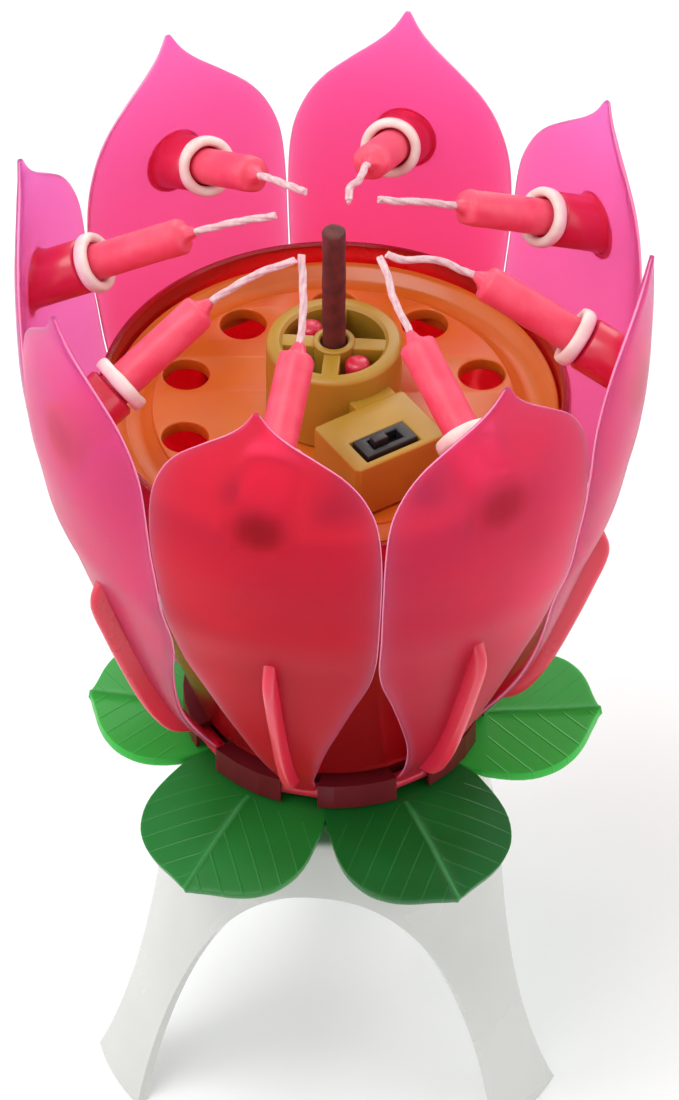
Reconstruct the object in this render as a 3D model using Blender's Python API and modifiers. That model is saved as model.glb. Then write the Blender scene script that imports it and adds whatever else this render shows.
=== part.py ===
"""Musical birthday candle: a lotus flower of eight hinged petals on a white tripod stand.

Each petal carries a small candle in a socket and swings on its own pin, the flower turns on the
stand, and the bowl under the deck holds the motor, the button cells and the melody board.
Lengths are metres, +Z is up, the front of the object is -Y and the feet rest on Z = 0.
Angles named ..._BEARING are degrees seen from above, from the front (-Y) towards the right (+X).
"""

import math

import bmesh
import bpy
from mathutils import Matrix, Vector

# Clearances
FIT_GAP = 0.0003
RUNNING_GAP = 0.0004
CUT_OVERRUN = 0.002
MERGE_DISTANCE = 0.000001

# Smoothness, in steps round a full turn
ROUND_STEPS_LARGE = 36
ROUND_STEPS_MEDIUM = 20
ROUND_STEPS_SMALL = 12
STAND_RINGS = 5
CURVE_STEPS = 6
WICK_STEPS = 5
WIRE_STEPS = 8
SPRING_STEPS = 8
SMOOTH_ANGLE = 35.0

# Stand
STAND_HEIGHT = 0.049
STAND_FOOT_RADIUS = 0.0325
STAND_TOP_RADIUS = 0.020
STAND_WALL = 0.0014
STAND_TOP_THICKNESS = 0.0016
STAND_FLARE_POWER = 1.5
LEG_COUNT = 3
FIRST_LEG_BEARING = 54.0
ARCH_BELOW_TOP = 0.0088
ARCH_HALF_WIDTH = 0.0243
ARCH_POINTS = 10
ARCH_RISE_POWER = 1.2
ARCH_WIDTH_POWER = 0.46
POST_RADIUS = 0.0032
SCREW_SHANK_RADIUS = 0.0011
SCREW_HEAD_RADIUS = 0.0026
SCREW_HEAD_HEIGHT = 0.0013
SCREW_DEPTH = 0.006
SCREW_SLOT_WIDTH = 0.0007
SCREW_SLOT_DEPTH = 0.0006
SCREW_SLOT_SHARE = 0.65

# Thrust washer and calyx
WASHER_THICKNESS = 0.0043
WASHER_RADIUS = 0.0085
LEAF_COUNT = 6
FIRST_LEAF_BEARING = 27.0
LEAF_TIP_RADIUS = 0.0360
LEAF_NOTCH_RADIUS = 0.0214
LEAF_DROOP = 0.0046
CALYX_FLAT_RADIUS = 0.0196
CALYX_THICKNESS = 0.0013
LEAF_STEPS = 12
LEAF_DROOP_POWER = 1.5
LEAF_RING_SHARES = (0.25, 0.55, 0.82, 1.0)

# Petal hinge and hinge ring
PETAL_COUNT = 8
FIRST_PETAL_BEARING = -13.5
HINGE_RADIUS = 0.0180
HINGE_PIN_RADIUS = 0.0010
HINGE_PIN_LENGTH = 0.0086
TONGUE_WIDTH = 0.0044
RING_OUTER_RADIUS = 0.0199
RING_INNER_RADIUS = 0.0154
RING_WEB = 0.0011
RING_HEIGHT = 0.0038
RING_FLOOR = 0.0014
HINGE_ABOVE_RING_BOTTOM = 0.0015

# Petal
PETAL_REACH = 0.0229
PETAL_RISE = 0.0834
PETAL_HALF_WIDTH = 0.0147
PETAL_THICKNESS = 0.0012
PETAL_CROSS_RADIUS = 0.038
PETAL_COLUMNS = 6
RIB_HEIGHT = 0.0024
RIB_THICKNESS = 0.0014

# Candle socket, collar, candle and wick
SOCKET_RISE_SHARE = 0.7613908873
SOCKET_TILT = 30.0
SOCKET_LENGTH = 0.0086
SOCKET_WALL = 0.0009
SOCKET_FLOOR = 0.0012
CANDLE_RADIUS = 0.00235
CANDLE_PROUD = 0.0138
CANDLE_SHOULDER = 0.0005
WICK_RADIUS = 0.0005
WICK_PROUD = 0.0130
WICK_SAG = 0.0025
COLLAR_WIDTH = 0.0013
COLLAR_HEIGHT = 0.0018
COLLAR_EDGE_STEPS = 6

# Drive
GEAR_MODULE = 0.0007
FIXED_GEAR_TEETH = 24
PINION_TEETH = 8
GEAR_THICKNESS = 0.0019
GEAR_ADDENDUM = 0.8
GEAR_DEDENDUM = 1.15
GEAR_ROOT_WIDENING = 1.45
GEAR_TIP_NARROWING = 0.45
GEAR_BACKLASH = 0.00025
MOTOR_BEARING = 150.0
MOTOR_RADIUS = 0.0048
MOTOR_HEIGHT = 0.0120
MOTOR_NOSE_RADIUS = 0.0022
MOTOR_NOSE_HEIGHT = 0.0010
MOTOR_SHAFT_RADIUS = 0.00075

# Bowl and deck
BOWL_FOOT_RADIUS = 0.0179
BOWL_RADIUS = 0.0304
BOWL_CONE_HEIGHT = 0.0331
BOWL_HEIGHT = 0.0505
BOWL_STEP = 0.0010
BOWL_WALL = 0.0012
BOWL_FLOOR = 0.0014
DECK_BELOW_RIM = 0.0024
DECK_THICKNESS = 0.0018
DECK_DISC_RADIUS = 0.0234
DECK_CHANNEL_DEPTH = 0.0014
DECK_LIP_WIDTH = 0.0010
DECK_HOLE_COUNT = 10
DECK_HOLE_RADIUS = 0.0030
DECK_HOLE_CIRCLE = 0.0200
DECK_LEDGE_WIDTH = 0.0016
BOARD_POST_RADIUS = 0.0015
BOARD_POST_LENGTH = 0.0085
BOARD_PIN_RADIUS = 0.0008
BOARD_PIN_LENGTH = 0.0022

# Centre boss, pegs and spark stick
BOSS_RADIUS = 0.0087
BOSS_HEIGHT = 0.0108
BOSS_WALL = 0.0021
BOSS_SPIDER = 0.0022
BOSS_SPIDER_RECESS = 0.0004
BOSS_BAR_WIDTH = 0.0022
BOSS_HUB_WALL = 0.0009
BOSS_BAR_BEARING = -5.0
PLATFORM_START = 0.0102
PLATFORM_REACH = 0.0206
PLATFORM_WIDTH = 0.0137
PLATFORM_SHIFT = -0.0030
PLATFORM_HEIGHT = 0.0080
PLATFORM_WALL = 0.0010
PLATFORM_BEARING = 33.0
NECK_WIDTH = 0.0060
NECK_BELOW_TOP = 0.0005
SPARK_RADIUS = 0.00150
SPARK_PROUD = 0.0180
PEG_RADIUS = 0.0016
PEG_BELOW_TOP = 0.0004

# Slide switch
SWITCH_LENGTH = 0.0074
SWITCH_WIDTH = 0.0036
SWITCH_HEIGHT = 0.0050
SWITCH_PROUD = 0.0004
SWITCH_CIRCLE = 0.0174
SWITCH_SHIFT = -0.0036
SWITCH_SLOT_DEPTH = 0.0016
KNOB_LENGTH = 0.0020
KNOB_TRAVEL = 0.0018
KNOB_PROUD = 0.0008

# Battery, board and sounder
CELL_COUNT = 3
CELL_RADIUS = 0.0058
CELL_HEIGHT = 0.0054
CELL_STEP = 0.0009
HOLDER_WALL = 0.0010
HOLDER_FLOOR = 0.0012
HOLDER_OFFSET = 0.0078
SPRING_HEIGHT = 0.0024
SPRING_WIRE_RADIUS = 0.0003
SPRING_RADIUS = 0.0036
SPRING_TOP_SHARE = 0.55
SPRING_TURNS = 2.5
STRIP_THICKNESS = 0.0004
STRIP_WIDTH = 0.0050
BOARD_LENGTH = 0.0280
BOARD_WIDTH = 0.0180
BOARD_THICKNESS = 0.0012
BOARD_POST_SPACING = 0.0230
SOUNDER_RADIUS = 0.0080
SOUNDER_THICKNESS = 0.0005
CHIP_RADIUS = 0.0040
CHIP_HEIGHT = 0.0016
CHIP_DOME_SHARES = [(1.00, 0.00), (0.86, 0.60), (0.50, 0.93), (0.00, 1.00)]
WIRE_RADIUS = 0.0005

# Levels worked out from the sizes above
ARCH_HEIGHT = STAND_HEIGHT - ARCH_BELOW_TOP
WASHER_BOTTOM = STAND_HEIGHT + FIT_GAP
CALYX_BOTTOM = WASHER_BOTTOM + WASHER_THICKNESS + FIT_GAP
CALYX_TOP = CALYX_BOTTOM + CALYX_THICKNESS
RING_BOTTOM = CALYX_TOP + FIT_GAP
HINGE_HEIGHT = RING_BOTTOM + HINGE_ABOVE_RING_BOTTOM
GEAR_BOTTOM = RING_BOTTOM + RING_FLOOR + RUNNING_GAP
GEAR_TOP = GEAR_BOTTOM + GEAR_THICKNESS
SCREW_HEAD_TOP = GEAR_TOP + FIT_GAP + SCREW_HEAD_HEIGHT
BOWL_BOTTOM = RING_BOTTOM + RING_HEIGHT + FIT_GAP
BOWL_FLOOR_TOP = BOWL_BOTTOM + BOWL_FLOOR
BOWL_TOP = BOWL_BOTTOM + BOWL_HEIGHT
DECK_TOP = BOWL_TOP - DECK_BELOW_RIM
DECK_BOTTOM = DECK_TOP - DECK_THICKNESS
BOSS_BOTTOM = DECK_TOP + FIT_GAP
BOSS_TOP = BOSS_BOTTOM + BOSS_HEIGHT
PLATFORM_TOP = BOSS_BOTTOM + PLATFORM_HEIGHT
GEAR_CENTRES = (FIXED_GEAR_TEETH + PINION_TEETH) * GEAR_MODULE / 2 + GEAR_BACKLASH / 2
HOLDER_RADIUS = CELL_RADIUS + FIT_GAP + HOLDER_WALL
HOLDER_BOTTOM = BOWL_FLOOR_TOP + FIT_GAP
SPRING_BOTTOM = HOLDER_BOTTOM + HOLDER_FLOOR + FIT_GAP
FIRST_CELL_BOTTOM = SPRING_BOTTOM + SPRING_HEIGHT + FIT_GAP
CELL_PITCH = CELL_HEIGHT + FIT_GAP
HOLDER_TOP = FIRST_CELL_BOTTOM + CELL_COUNT * CELL_PITCH - FIT_GAP
BOARD_TOP = DECK_BOTTOM - BOARD_POST_LENGTH - FIT_GAP
BOARD_BOTTOM = BOARD_TOP - BOARD_THICKNESS
SOCKET_HEIGHT = PETAL_RISE * SOCKET_RISE_SHARE
SOCKET_BORE = CANDLE_RADIUS + FIT_GAP
SOCKET_RADIUS = SOCKET_BORE + SOCKET_WALL
COLLAR_RADIUS = CANDLE_RADIUS + FIT_GAP + COLLAR_WIDTH / 2

# Centre line of a petal from its hinge, as shares of its reach and its rise
PETAL_LINE_SHARES = [
    (0.000, 0.000), (0.157, 0.063), (0.306, 0.131), (0.415, 0.196), (0.520, 0.272), (0.624, 0.355),
    (0.712, 0.428), (0.777, 0.473), (0.825, 0.515), (0.873, 0.582), (0.917, 0.642), (0.948, 0.721),
    (0.961, 0.836), (0.965, 0.921), (1.000, 1.000),
]
# Width of a petal along that line, as shares of its length and its half width
PETAL_WIDTH_SHARES = [
    (0.000, 0.145), (0.050, 0.150), (0.130, 0.255), (0.200, 0.365), (0.270, 0.510), (0.340, 0.665),
    (0.410, 0.800), (0.490, 0.895), (0.590, 0.958), (0.700, 1.000), (0.785, 0.965), (0.840, 0.865),
    (0.880, 0.720), (0.915, 0.490), (0.945, 0.270), (0.970, 0.130), (1.000, 0.025),
]
# Height of the rib along the petal's length, as shares of its length and its height
RIB_SHARES = [(0.075, 0.10), (0.105, 0.80), (0.200, 1.00), (0.320, 1.00), (0.415, 1.00), (0.455, 0.15)]
# Outer edge of one leaf from its middle to its notch, as shares of its half angle and its length
LEAF_EDGE_SHARES = [
    (0.00, 1.00), (0.06, 0.96), (0.17, 0.92), (0.34, 0.88), (0.50, 0.82), (0.67, 0.70), (0.84, 0.46),
    (1.00, 0.00),
]
# Droop and length of each leaf, as shares of the full droop and length; a leaf below zero is raised
LEAF_DROOP_SHARES = (1.0, -0.35, 0.5, 0.5, -0.35, 1.0)
LEAF_LENGTH_SHARES = (1.0, 0.945, 0.9, 0.9, 0.75, 1.0)
# Wick bends, one for each candle, as shares of the sag
WICK_BEND_SHARES = [
    (0.52, -0.80), (-1.00, 0.92), (-0.60, -1.50), (-0.60, 0.68), (-1.20, -0.04), (-0.56, -0.16),
    (-0.60, -0.20), (1.00, 2.60),
]


def outward(bearing):
    """Unit vector away from the axis at a bearing."""
    angle = math.radians(bearing)
    return Vector((math.sin(angle), -math.cos(angle), 0))


def facing(bearing):
    """Rotation about Z that turns a piece's own +X to a bearing."""
    return math.radians(bearing - 90)


def interpolate(table, place):
    """Value of a table of (place, value) pairs at a place between its ends."""
    for (low, first), (high, second) in zip(table, table[1:]):
        if place <= high:
            return first + (second - first) * (place - low) / (high - low)
    return table[-1][1]


def make_collection(name):
    collection = bpy.data.collections.new(name)
    bpy.context.scene.collection.children.link(collection)
    return collection


def make_material(name, colour, roughness, metallic=0.0):
    material = bpy.data.materials.new(name)
    material.use_nodes = True
    shader = material.node_tree.nodes["Principled BSDF"]
    shader.inputs["Base Color"].default_value = (*colour, 1)
    shader.inputs["Roughness"].default_value = roughness
    shader.inputs["Metallic"].default_value = metallic
    material.diffuse_color = (*colour, 1)
    return material


def add_object(name, data, material=None, cutter=False):
    piece = bpy.data.objects.new(name, data)
    (CUTTERS if cutter else PARTS).objects.link(piece)
    if cutter:
        piece.hide_render = True
        piece.display_type = "WIRE"
    if material:
        data.materials.append(material)
    return piece


def mesh_from_bmesh(name, shape):
    bmesh.ops.recalc_face_normals(shape, faces=shape.faces)
    mesh = bpy.data.meshes.new(name)
    shape.to_mesh(mesh)
    shape.free()
    return mesh


def smooth(mesh):
    mesh.shade_smooth()
    mesh.set_sharp_from_angle(angle=math.radians(SMOOTH_ANGLE))


def bake(piece):
    """Replace a piece's mesh or curve by what its modifiers make of it."""
    bpy.context.view_layer.update()
    evaluated = piece.evaluated_get(bpy.context.evaluated_depsgraph_get())
    mesh = bpy.data.meshes.new_from_object(evaluated)
    shape = bmesh.new()
    shape.from_mesh(mesh)
    bmesh.ops.remove_doubles(shape, verts=shape.verts, dist=MERGE_DISTANCE)
    shape.to_mesh(mesh)
    shape.free()
    name, collection, material = piece.name, piece.users_collection[0], piece.active_material
    matrix, cutter = piece.matrix_world.copy(), piece.hide_render
    bpy.data.objects.remove(piece)
    baked = bpy.data.objects.new(name, mesh)
    baked.matrix_world = matrix
    baked.hide_render = cutter
    baked.display_type = "WIRE" if cutter else "TEXTURED"
    collection.objects.link(baked)
    if material and not mesh.materials:
        mesh.materials.append(material)
    return baked


def turned(name, profile, material=None, steps=ROUND_STEPS_LARGE, cutter=False):
    """Turned piece: a profile of (radius, height) round Z that comes down its outer side.

    It starts and ends on the axis, or else its ends are joined.
    """
    shape = bmesh.new()
    corners = [shape.verts.new((radius, 0, height)) for radius, height in profile]
    for start, end in zip(corners, corners[1:]):
        shape.edges.new((start, end))
    if profile[0][0] > 0:
        shape.edges.new((corners[-1], corners[0]))
    mesh = bpy.data.meshes.new(name)
    shape.to_mesh(mesh)
    shape.free()
    piece = add_object(name, mesh, material, cutter)
    screw = piece.modifiers.new("turn", "SCREW")
    screw.steps = steps
    screw.render_steps = steps
    screw.use_merge_vertices = True
    screw.merge_threshold = MERGE_DISTANCE
    return piece


def cylinder(name, radius, bottom, top, material=None, steps=ROUND_STEPS_SMALL, cutter=False):
    """Upright cylinder on the piece's own axis."""
    shape = bmesh.new()
    bmesh.ops.create_cone(shape, cap_ends=True, segments=steps, radius1=radius, radius2=radius,
                          depth=top - bottom, matrix=Matrix.Translation((0, 0, (bottom + top) / 2)))
    return add_object(name, mesh_from_bmesh(name, shape), material, cutter)


def box(name, low, high, material=None, cutter=False):
    """Box between two corners."""
    low, high = Vector(low), Vector(high)
    shape = bmesh.new()
    place = Matrix.Translation((low + high) / 2) @ Matrix.Diagonal((*(high - low), 1))
    bmesh.ops.create_cube(shape, size=1, matrix=place)
    return add_object(name, mesh_from_bmesh(name, shape), material, cutter)


def ring_of(name, piece, bearings):
    """Cutter made of copies of a piece turned about Z to each bearing."""
    shape = bmesh.new()
    for bearing in bearings:
        copy = piece.data.copy()
        copy.transform(Matrix.Rotation(facing(bearing), 4, "Z") @ piece.matrix_world)
        shape.from_mesh(copy)
        bpy.data.meshes.remove(copy)
    mesh = mesh_from_bmesh(name, shape)
    bpy.data.objects.remove(piece)
    return add_object(name, mesh, cutter=True)


def boolean(piece, other, operation):
    modifier = piece.modifiers.new(other.name, "BOOLEAN")
    modifier.operation = operation
    modifier.object = other
    modifier.solver = "EXACT"


def even_bearings(count, first):
    return [first + 360 * index / count for index in range(count)]


def flat_outline(name, points, half_thickness):
    """Flat plate: an outline in its own XY plane, thick along Z, as a mesh object."""
    curve = bpy.data.curves.new(name, "CURVE")
    curve.dimensions = "2D"
    curve.fill_mode = "BOTH"
    curve.extrude = half_thickness
    spline = curve.splines.new("POLY")
    spline.points.add(len(points) - 1)
    for point, (x, y) in zip(spline.points, points):
        point.co = (x, y, 0, 1)
    spline.use_cyclic_u = True
    return bake(add_object(name, curve, cutter=True))


def wire_curve(name, points, radius, material, sides_level):
    """Round wire through points, with closed ends."""
    curve = bpy.data.curves.new(name, "CURVE")
    curve.dimensions = "3D"
    curve.bevel_depth = radius
    curve.bevel_resolution = sides_level
    curve.use_fill_caps = True
    spline = curve.splines.new("POLY")
    spline.points.add(len(points) - 1)
    for point, place in zip(spline.points, points):
        point.co = (*place, 1)
    return add_object(name, curve, material)


def stand_radius(height):
    """Outer radius of the stand's shell, flaring towards the feet."""
    share = ((STAND_HEIGHT - height) / STAND_HEIGHT) ** STAND_FLARE_POWER
    return STAND_TOP_RADIUS + (STAND_FOOT_RADIUS - STAND_TOP_RADIUS) * share


def build_stand():
    """White conical shell with three arches cut out of it, and the post that the flower turns on."""
    post_top = GEAR_BOTTOM - FIT_GAP
    pilot = SCREW_SHANK_RADIUS + FIT_GAP
    pilot_bottom = post_top - SCREW_DEPTH - FIT_GAP
    ceiling = STAND_HEIGHT - STAND_TOP_THICKNESS
    shares = [step / STAND_RINGS for step in range(STAND_RINGS + 1)]
    outer = [(stand_radius(STAND_HEIGHT * (1 - share)), STAND_HEIGHT * (1 - share)) for share in shares]
    inner = [(stand_radius(ceiling * share) - STAND_WALL, ceiling * share) for share in shares]
    top = [(pilot, pilot_bottom), (pilot, post_top), (POST_RADIUS, post_top), (POST_RADIUS, STAND_HEIGHT)]
    stand = turned("stand_tripod", [(0, pilot_bottom)] + top + outer + inner + [(0, ceiling)], WHITE)
    half_arch = []
    for step in range(ARCH_POINTS + 1):
        height = ARCH_HEIGHT * math.sin(math.pi / 2 * step / ARCH_POINTS)
        narrowing = (1 - (height / ARCH_HEIGHT) ** ARCH_RISE_POWER) ** ARCH_WIDTH_POWER
        half_arch.append((ARCH_HALF_WIDTH * narrowing, height))
    below = (ARCH_HALF_WIDTH, -CUT_OVERRUN)
    left = [(-width, height) for width, height in [below] + half_arch[:-1]]
    outline = [below] + half_arch + left[::-1]
    length = STAND_FOOT_RADIUS + CUT_OVERRUN - STAND_WALL
    arch = flat_outline("arch_cutter", outline, length / 2)
    arch.matrix_world = Matrix.Translation((length / 2 + STAND_WALL, 0, 0)) @ Matrix(
        ((0, 0, 1, 0), (1, 0, 0, 0), (0, 1, 0, 0), (0, 0, 0, 1)))
    bpy.context.view_layer.update()
    for bearing in even_bearings(LEG_COUNT, FIRST_LEG_BEARING + 180 / LEG_COUNT):
        cut = arch.copy()
        cut.name = f"arch_cutter_{bearing:.0f}"
        CUTTERS.objects.link(cut)
        cut.matrix_world = Matrix.Rotation(facing(bearing), 4, "Z") @ arch.matrix_world
        boolean(stand, cut, "DIFFERENCE")
    bpy.data.objects.remove(arch)


def gear_outline(teeth, backlash):
    """Outline of a spur gear with straight flanks, thinned by its share of the backlash."""
    pitch_radius = teeth * GEAR_MODULE / 2
    tip = pitch_radius + GEAR_ADDENDUM * GEAR_MODULE
    root = pitch_radius - GEAR_DEDENDUM * GEAR_MODULE
    tooth_angle = 2 * math.pi / teeth
    half_pitch = tooth_angle / 4 - backlash / 2 / pitch_radius
    flank = [(root, half_pitch * GEAR_ROOT_WIDENING), (pitch_radius, half_pitch),
             (tip, half_pitch * GEAR_TIP_NARROWING)]
    points = []
    for tooth in range(teeth):
        middle = tooth * tooth_angle
        points += [(radius, middle - half) for radius, half in flank]
        points += [(radius, middle + half) for radius, half in reversed(flank)]
    return [(radius * math.cos(angle), radius * math.sin(angle)) for radius, angle in points]


def build_gear(name, teeth, material, turn):
    blank = flat_outline(name + "_blank", gear_outline(teeth, GEAR_BACKLASH), GEAR_THICKNESS / 2)
    mesh = blank.data.copy()
    bpy.data.objects.remove(blank)
    mesh.transform(Matrix.Rotation(turn, 4, "Z"))
    return add_object(name, mesh, material)


def build_drive():
    """Fixed gear screwed to the stand's post, thrust washer, motor and its pinion."""
    washer_bore = POST_RADIUS + FIT_GAP
    turned("thrust_washer", [(washer_bore, WASHER_BOTTOM + WASHER_THICKNESS),
                             (WASHER_RADIUS, WASHER_BOTTOM + WASHER_THICKNESS),
                             (WASHER_RADIUS, WASHER_BOTTOM), (washer_bore, WASHER_BOTTOM)],
           NYLON, ROUND_STEPS_MEDIUM)
    toward_motor = facing(MOTOR_BEARING)
    gear = build_gear("fixed_gear", FIXED_GEAR_TEETH, NYLON, toward_motor)
    gear.location = (0, 0, GEAR_BOTTOM + GEAR_THICKNESS / 2)
    bore = cylinder("gear_bore", SCREW_SHANK_RADIUS + FIT_GAP, GEAR_BOTTOM - CUT_OVERRUN,
                    GEAR_TOP + CUT_OVERRUN, cutter=True)
    boolean(gear, bore, "DIFFERENCE")
    head_bottom = GEAR_TOP + FIT_GAP
    shank_bottom = GEAR_BOTTOM - FIT_GAP - SCREW_DEPTH
    screw = turned("centre_screw", [(0, SCREW_HEAD_TOP), (SCREW_HEAD_RADIUS, SCREW_HEAD_TOP),
                                    (SCREW_HEAD_RADIUS, head_bottom), (SCREW_SHANK_RADIUS, head_bottom),
                                    (SCREW_SHANK_RADIUS, shank_bottom), (0, shank_bottom)],
                   STEEL, ROUND_STEPS_SMALL)
    slot_bottom = SCREW_HEAD_TOP - SCREW_SLOT_DEPTH
    arm = SCREW_HEAD_RADIUS * SCREW_SLOT_SHARE
    for index in range(2):
        slot = box(f"screw_slot_{index}", (-arm, -SCREW_SLOT_WIDTH / 2, slot_bottom),
                   (arm, SCREW_SLOT_WIDTH / 2, SCREW_HEAD_TOP + CUT_OVERRUN), cutter=True)
        slot.rotation_euler.z = math.pi / 2 * index
        boolean(screw, slot, "DIFFERENCE")

    place = outward(MOTOR_BEARING) * GEAR_CENTRES
    can_bottom = BOWL_FLOOR_TOP + FIT_GAP
    can_top = can_bottom + MOTOR_HEIGHT
    nose_top = can_top + MOTOR_NOSE_HEIGHT
    motor = turned("motor", [(0, nose_top), (MOTOR_NOSE_RADIUS, nose_top),
                             (MOTOR_NOSE_RADIUS, can_top), (MOTOR_RADIUS, can_top),
                             (MOTOR_RADIUS, can_bottom), (0, can_bottom)], STEEL, ROUND_STEPS_MEDIUM)
    motor.location = place
    half_step = math.pi / PINION_TEETH
    pinion = build_gear("motor_pinion", PINION_TEETH, BRASS, toward_motor + math.pi + half_step)
    pinion.location = place + Vector((0, 0, GEAR_BOTTOM + GEAR_THICKNESS / 2))
    shaft = cylinder("pinion_shaft", MOTOR_SHAFT_RADIUS, GEAR_BOTTOM + GEAR_THICKNESS / 2, BOWL_FLOOR_TOP,
                     cutter=True)
    shaft.location = place
    boolean(pinion, shaft, "UNION")


def build_calyx():
    """Green moulded ring of six drooping leaves that turns with the flower."""
    bore = POST_RADIUS + RUNNING_GAP
    full = LEAF_TIP_RADIUS - CALYX_FLAT_RADIUS
    shape = bmesh.new()
    line = [shape.verts.new((radius, 0, 0)) for radius in (bore, CALYX_FLAT_RADIUS)]
    line += [shape.verts.new((CALYX_FLAT_RADIUS + share * full, 0, 0)) for share in LEAF_RING_SHARES]
    for start, end in zip(line, line[1:]):
        shape.edges.new((start, end))
    bmesh.ops.spin(shape, geom=shape.verts[:] + shape.edges[:], axis=(0, 0, 1), cent=(0, 0, 0),
                   angle=2 * math.pi, steps=LEAF_COUNT * LEAF_STEPS, use_merge=True)
    bmesh.ops.remove_doubles(shape, verts=shape.verts, dist=MERGE_DISTANCE)
    half_leaf = 180 / LEAF_COUNT
    for vert in shape.verts:
        radius = vert.co.xy.length
        if radius <= CALYX_FLAT_RADIUS + MERGE_DISTANCE:
            continue
        share = (radius - CALYX_FLAT_RADIUS) / full
        bearing = math.degrees(math.atan2(vert.co.x, -vert.co.y)) - FIRST_LEAF_BEARING + half_leaf
        from_middle = abs(bearing % (2 * half_leaf) - half_leaf) / half_leaf
        leaf = math.floor(bearing / (2 * half_leaf)) % LEAF_COUNT
        length_share = interpolate(LEAF_EDGE_SHARES, from_middle) * LEAF_LENGTH_SHARES[leaf]
        edge = LEAF_NOTCH_RADIUS + (LEAF_TIP_RADIUS - LEAF_NOTCH_RADIUS) * length_share
        wanted = CALYX_FLAT_RADIUS + share * (edge - CALYX_FLAT_RADIUS)
        reach = (wanted - CALYX_FLAT_RADIUS) / full
        vert.co.x *= wanted / radius
        vert.co.y *= wanted / radius
        vert.co.z = -LEAF_DROOP * LEAF_DROOP_SHARES[leaf] * reach ** LEAF_DROOP_POWER
    calyx = add_object("calyx_leaves", mesh_from_bmesh("calyx_leaves", shape), GREEN)
    if calyx.data.polygons[0].normal.z < 0:
        calyx.data.flip_normals()
    calyx.location.z = CALYX_TOP
    thick = calyx.modifiers.new("thickness", "SOLIDIFY")
    thick.thickness = CALYX_THICKNESS
    thick.offset = -1
    thick.use_rim = True


def build_hinge_ring():
    """Red ring with eight slots for the petal tongues and blind bores for their pins."""
    bore = POST_RADIUS + RUNNING_GAP
    floor_top = RING_BOTTOM + RING_FLOOR
    top = RING_BOTTOM + RING_HEIGHT
    ring = turned("hinge_ring", [(RING_INNER_RADIUS, top), (RING_OUTER_RADIUS, top),
                                 (RING_OUTER_RADIUS, RING_BOTTOM), (bore, RING_BOTTOM),
                                 (bore, floor_top), (RING_INNER_RADIUS, floor_top)], RED)
    bearings = even_bearings(PETAL_COUNT, FIRST_PETAL_BEARING)
    slot_half = TONGUE_WIDTH / 2 + FIT_GAP
    slot = box("slot", (RING_INNER_RADIUS + RING_WEB, -slot_half, RING_BOTTOM - CUT_OVERRUN),
               (RING_OUTER_RADIUS + CUT_OVERRUN, slot_half, top + CUT_OVERRUN), cutter=True)
    boolean(ring, ring_of("slot_cutters", slot, bearings), "DIFFERENCE")
    bore_half = HINGE_PIN_LENGTH / 2 + FIT_GAP
    bore = cylinder("pin_bore", HINGE_PIN_RADIUS + FIT_GAP, -bore_half, bore_half, cutter=True)
    bore_place = Matrix.Translation((HINGE_RADIUS, 0, HINGE_HEIGHT))
    bore.matrix_world = bore_place @ Matrix.Rotation(math.pi / 2, 4, "X")
    boolean(ring, ring_of("bore_cutters", bore, bearings), "DIFFERENCE")
    notch = box("pin_notch", (HINGE_RADIUS - HINGE_PIN_RADIUS, -bore_half, RING_BOTTOM - CUT_OVERRUN),
                (HINGE_RADIUS + HINGE_PIN_RADIUS, bore_half, HINGE_HEIGHT), cutter=True)
    boolean(ring, ring_of("notch_cutters", notch, bearings), "DIFFERENCE")


def petal_line():
    """Centre line of a petal from its hinge, (outward, up), as a smooth line through its points."""
    points = [(PETAL_REACH * out, PETAL_RISE * up) for out, up in PETAL_LINE_SHARES]
    padded = [points[0]] + points + [points[-1]]
    line = []
    for a, b, c, d in zip(padded, padded[1:], padded[2:], padded[3:]):
        for step in range(CURVE_STEPS):
            t = step / CURVE_STEPS
            weights = (-t + 2 * t ** 2 - t ** 3, 2 - 5 * t ** 2 + 3 * t ** 3,
                       t + 4 * t ** 2 - 3 * t ** 3, t ** 3 - t ** 2)
            pairs = list(zip(weights, (a, b, c, d)))
            line.append(tuple(sum(weight * point[i] for weight, point in pairs) / 2 for i in range(2)))
    line.append(points[-1])
    return line


def line_place(line, share):
    """Point and outward normal at a share of the line's length."""
    lengths = [0]
    for start, end in zip(line, line[1:]):
        lengths.append(lengths[-1] + math.dist(start, end))
    wanted = share * lengths[-1]
    for index in range(len(line) - 1):
        if wanted <= lengths[index + 1] or index == len(line) - 2:
            part = (wanted - lengths[index]) / (lengths[index + 1] - lengths[index])
            start, end = line[index], line[index + 1]
            out = start[0] + (end[0] - start[0]) * part
            up = start[1] + (end[1] - start[1]) * part
            run = math.dist(start, end)
            return (out, up), ((end[1] - start[1]) / run, -(end[0] - start[0]) / run)


def socket_frame():
    """Matrix whose +Z runs along a candle socket from the petal's middle surface, in the petal's frame."""
    line = petal_line()
    out = next(a[0] for a in line if a[1] >= SOCKET_HEIGHT)
    tilt = Matrix.Rotation(math.radians(SOCKET_TILT - 90), 4, "Y")
    return Matrix.Translation((out, 0, SOCKET_HEIGHT)) @ tilt


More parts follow.
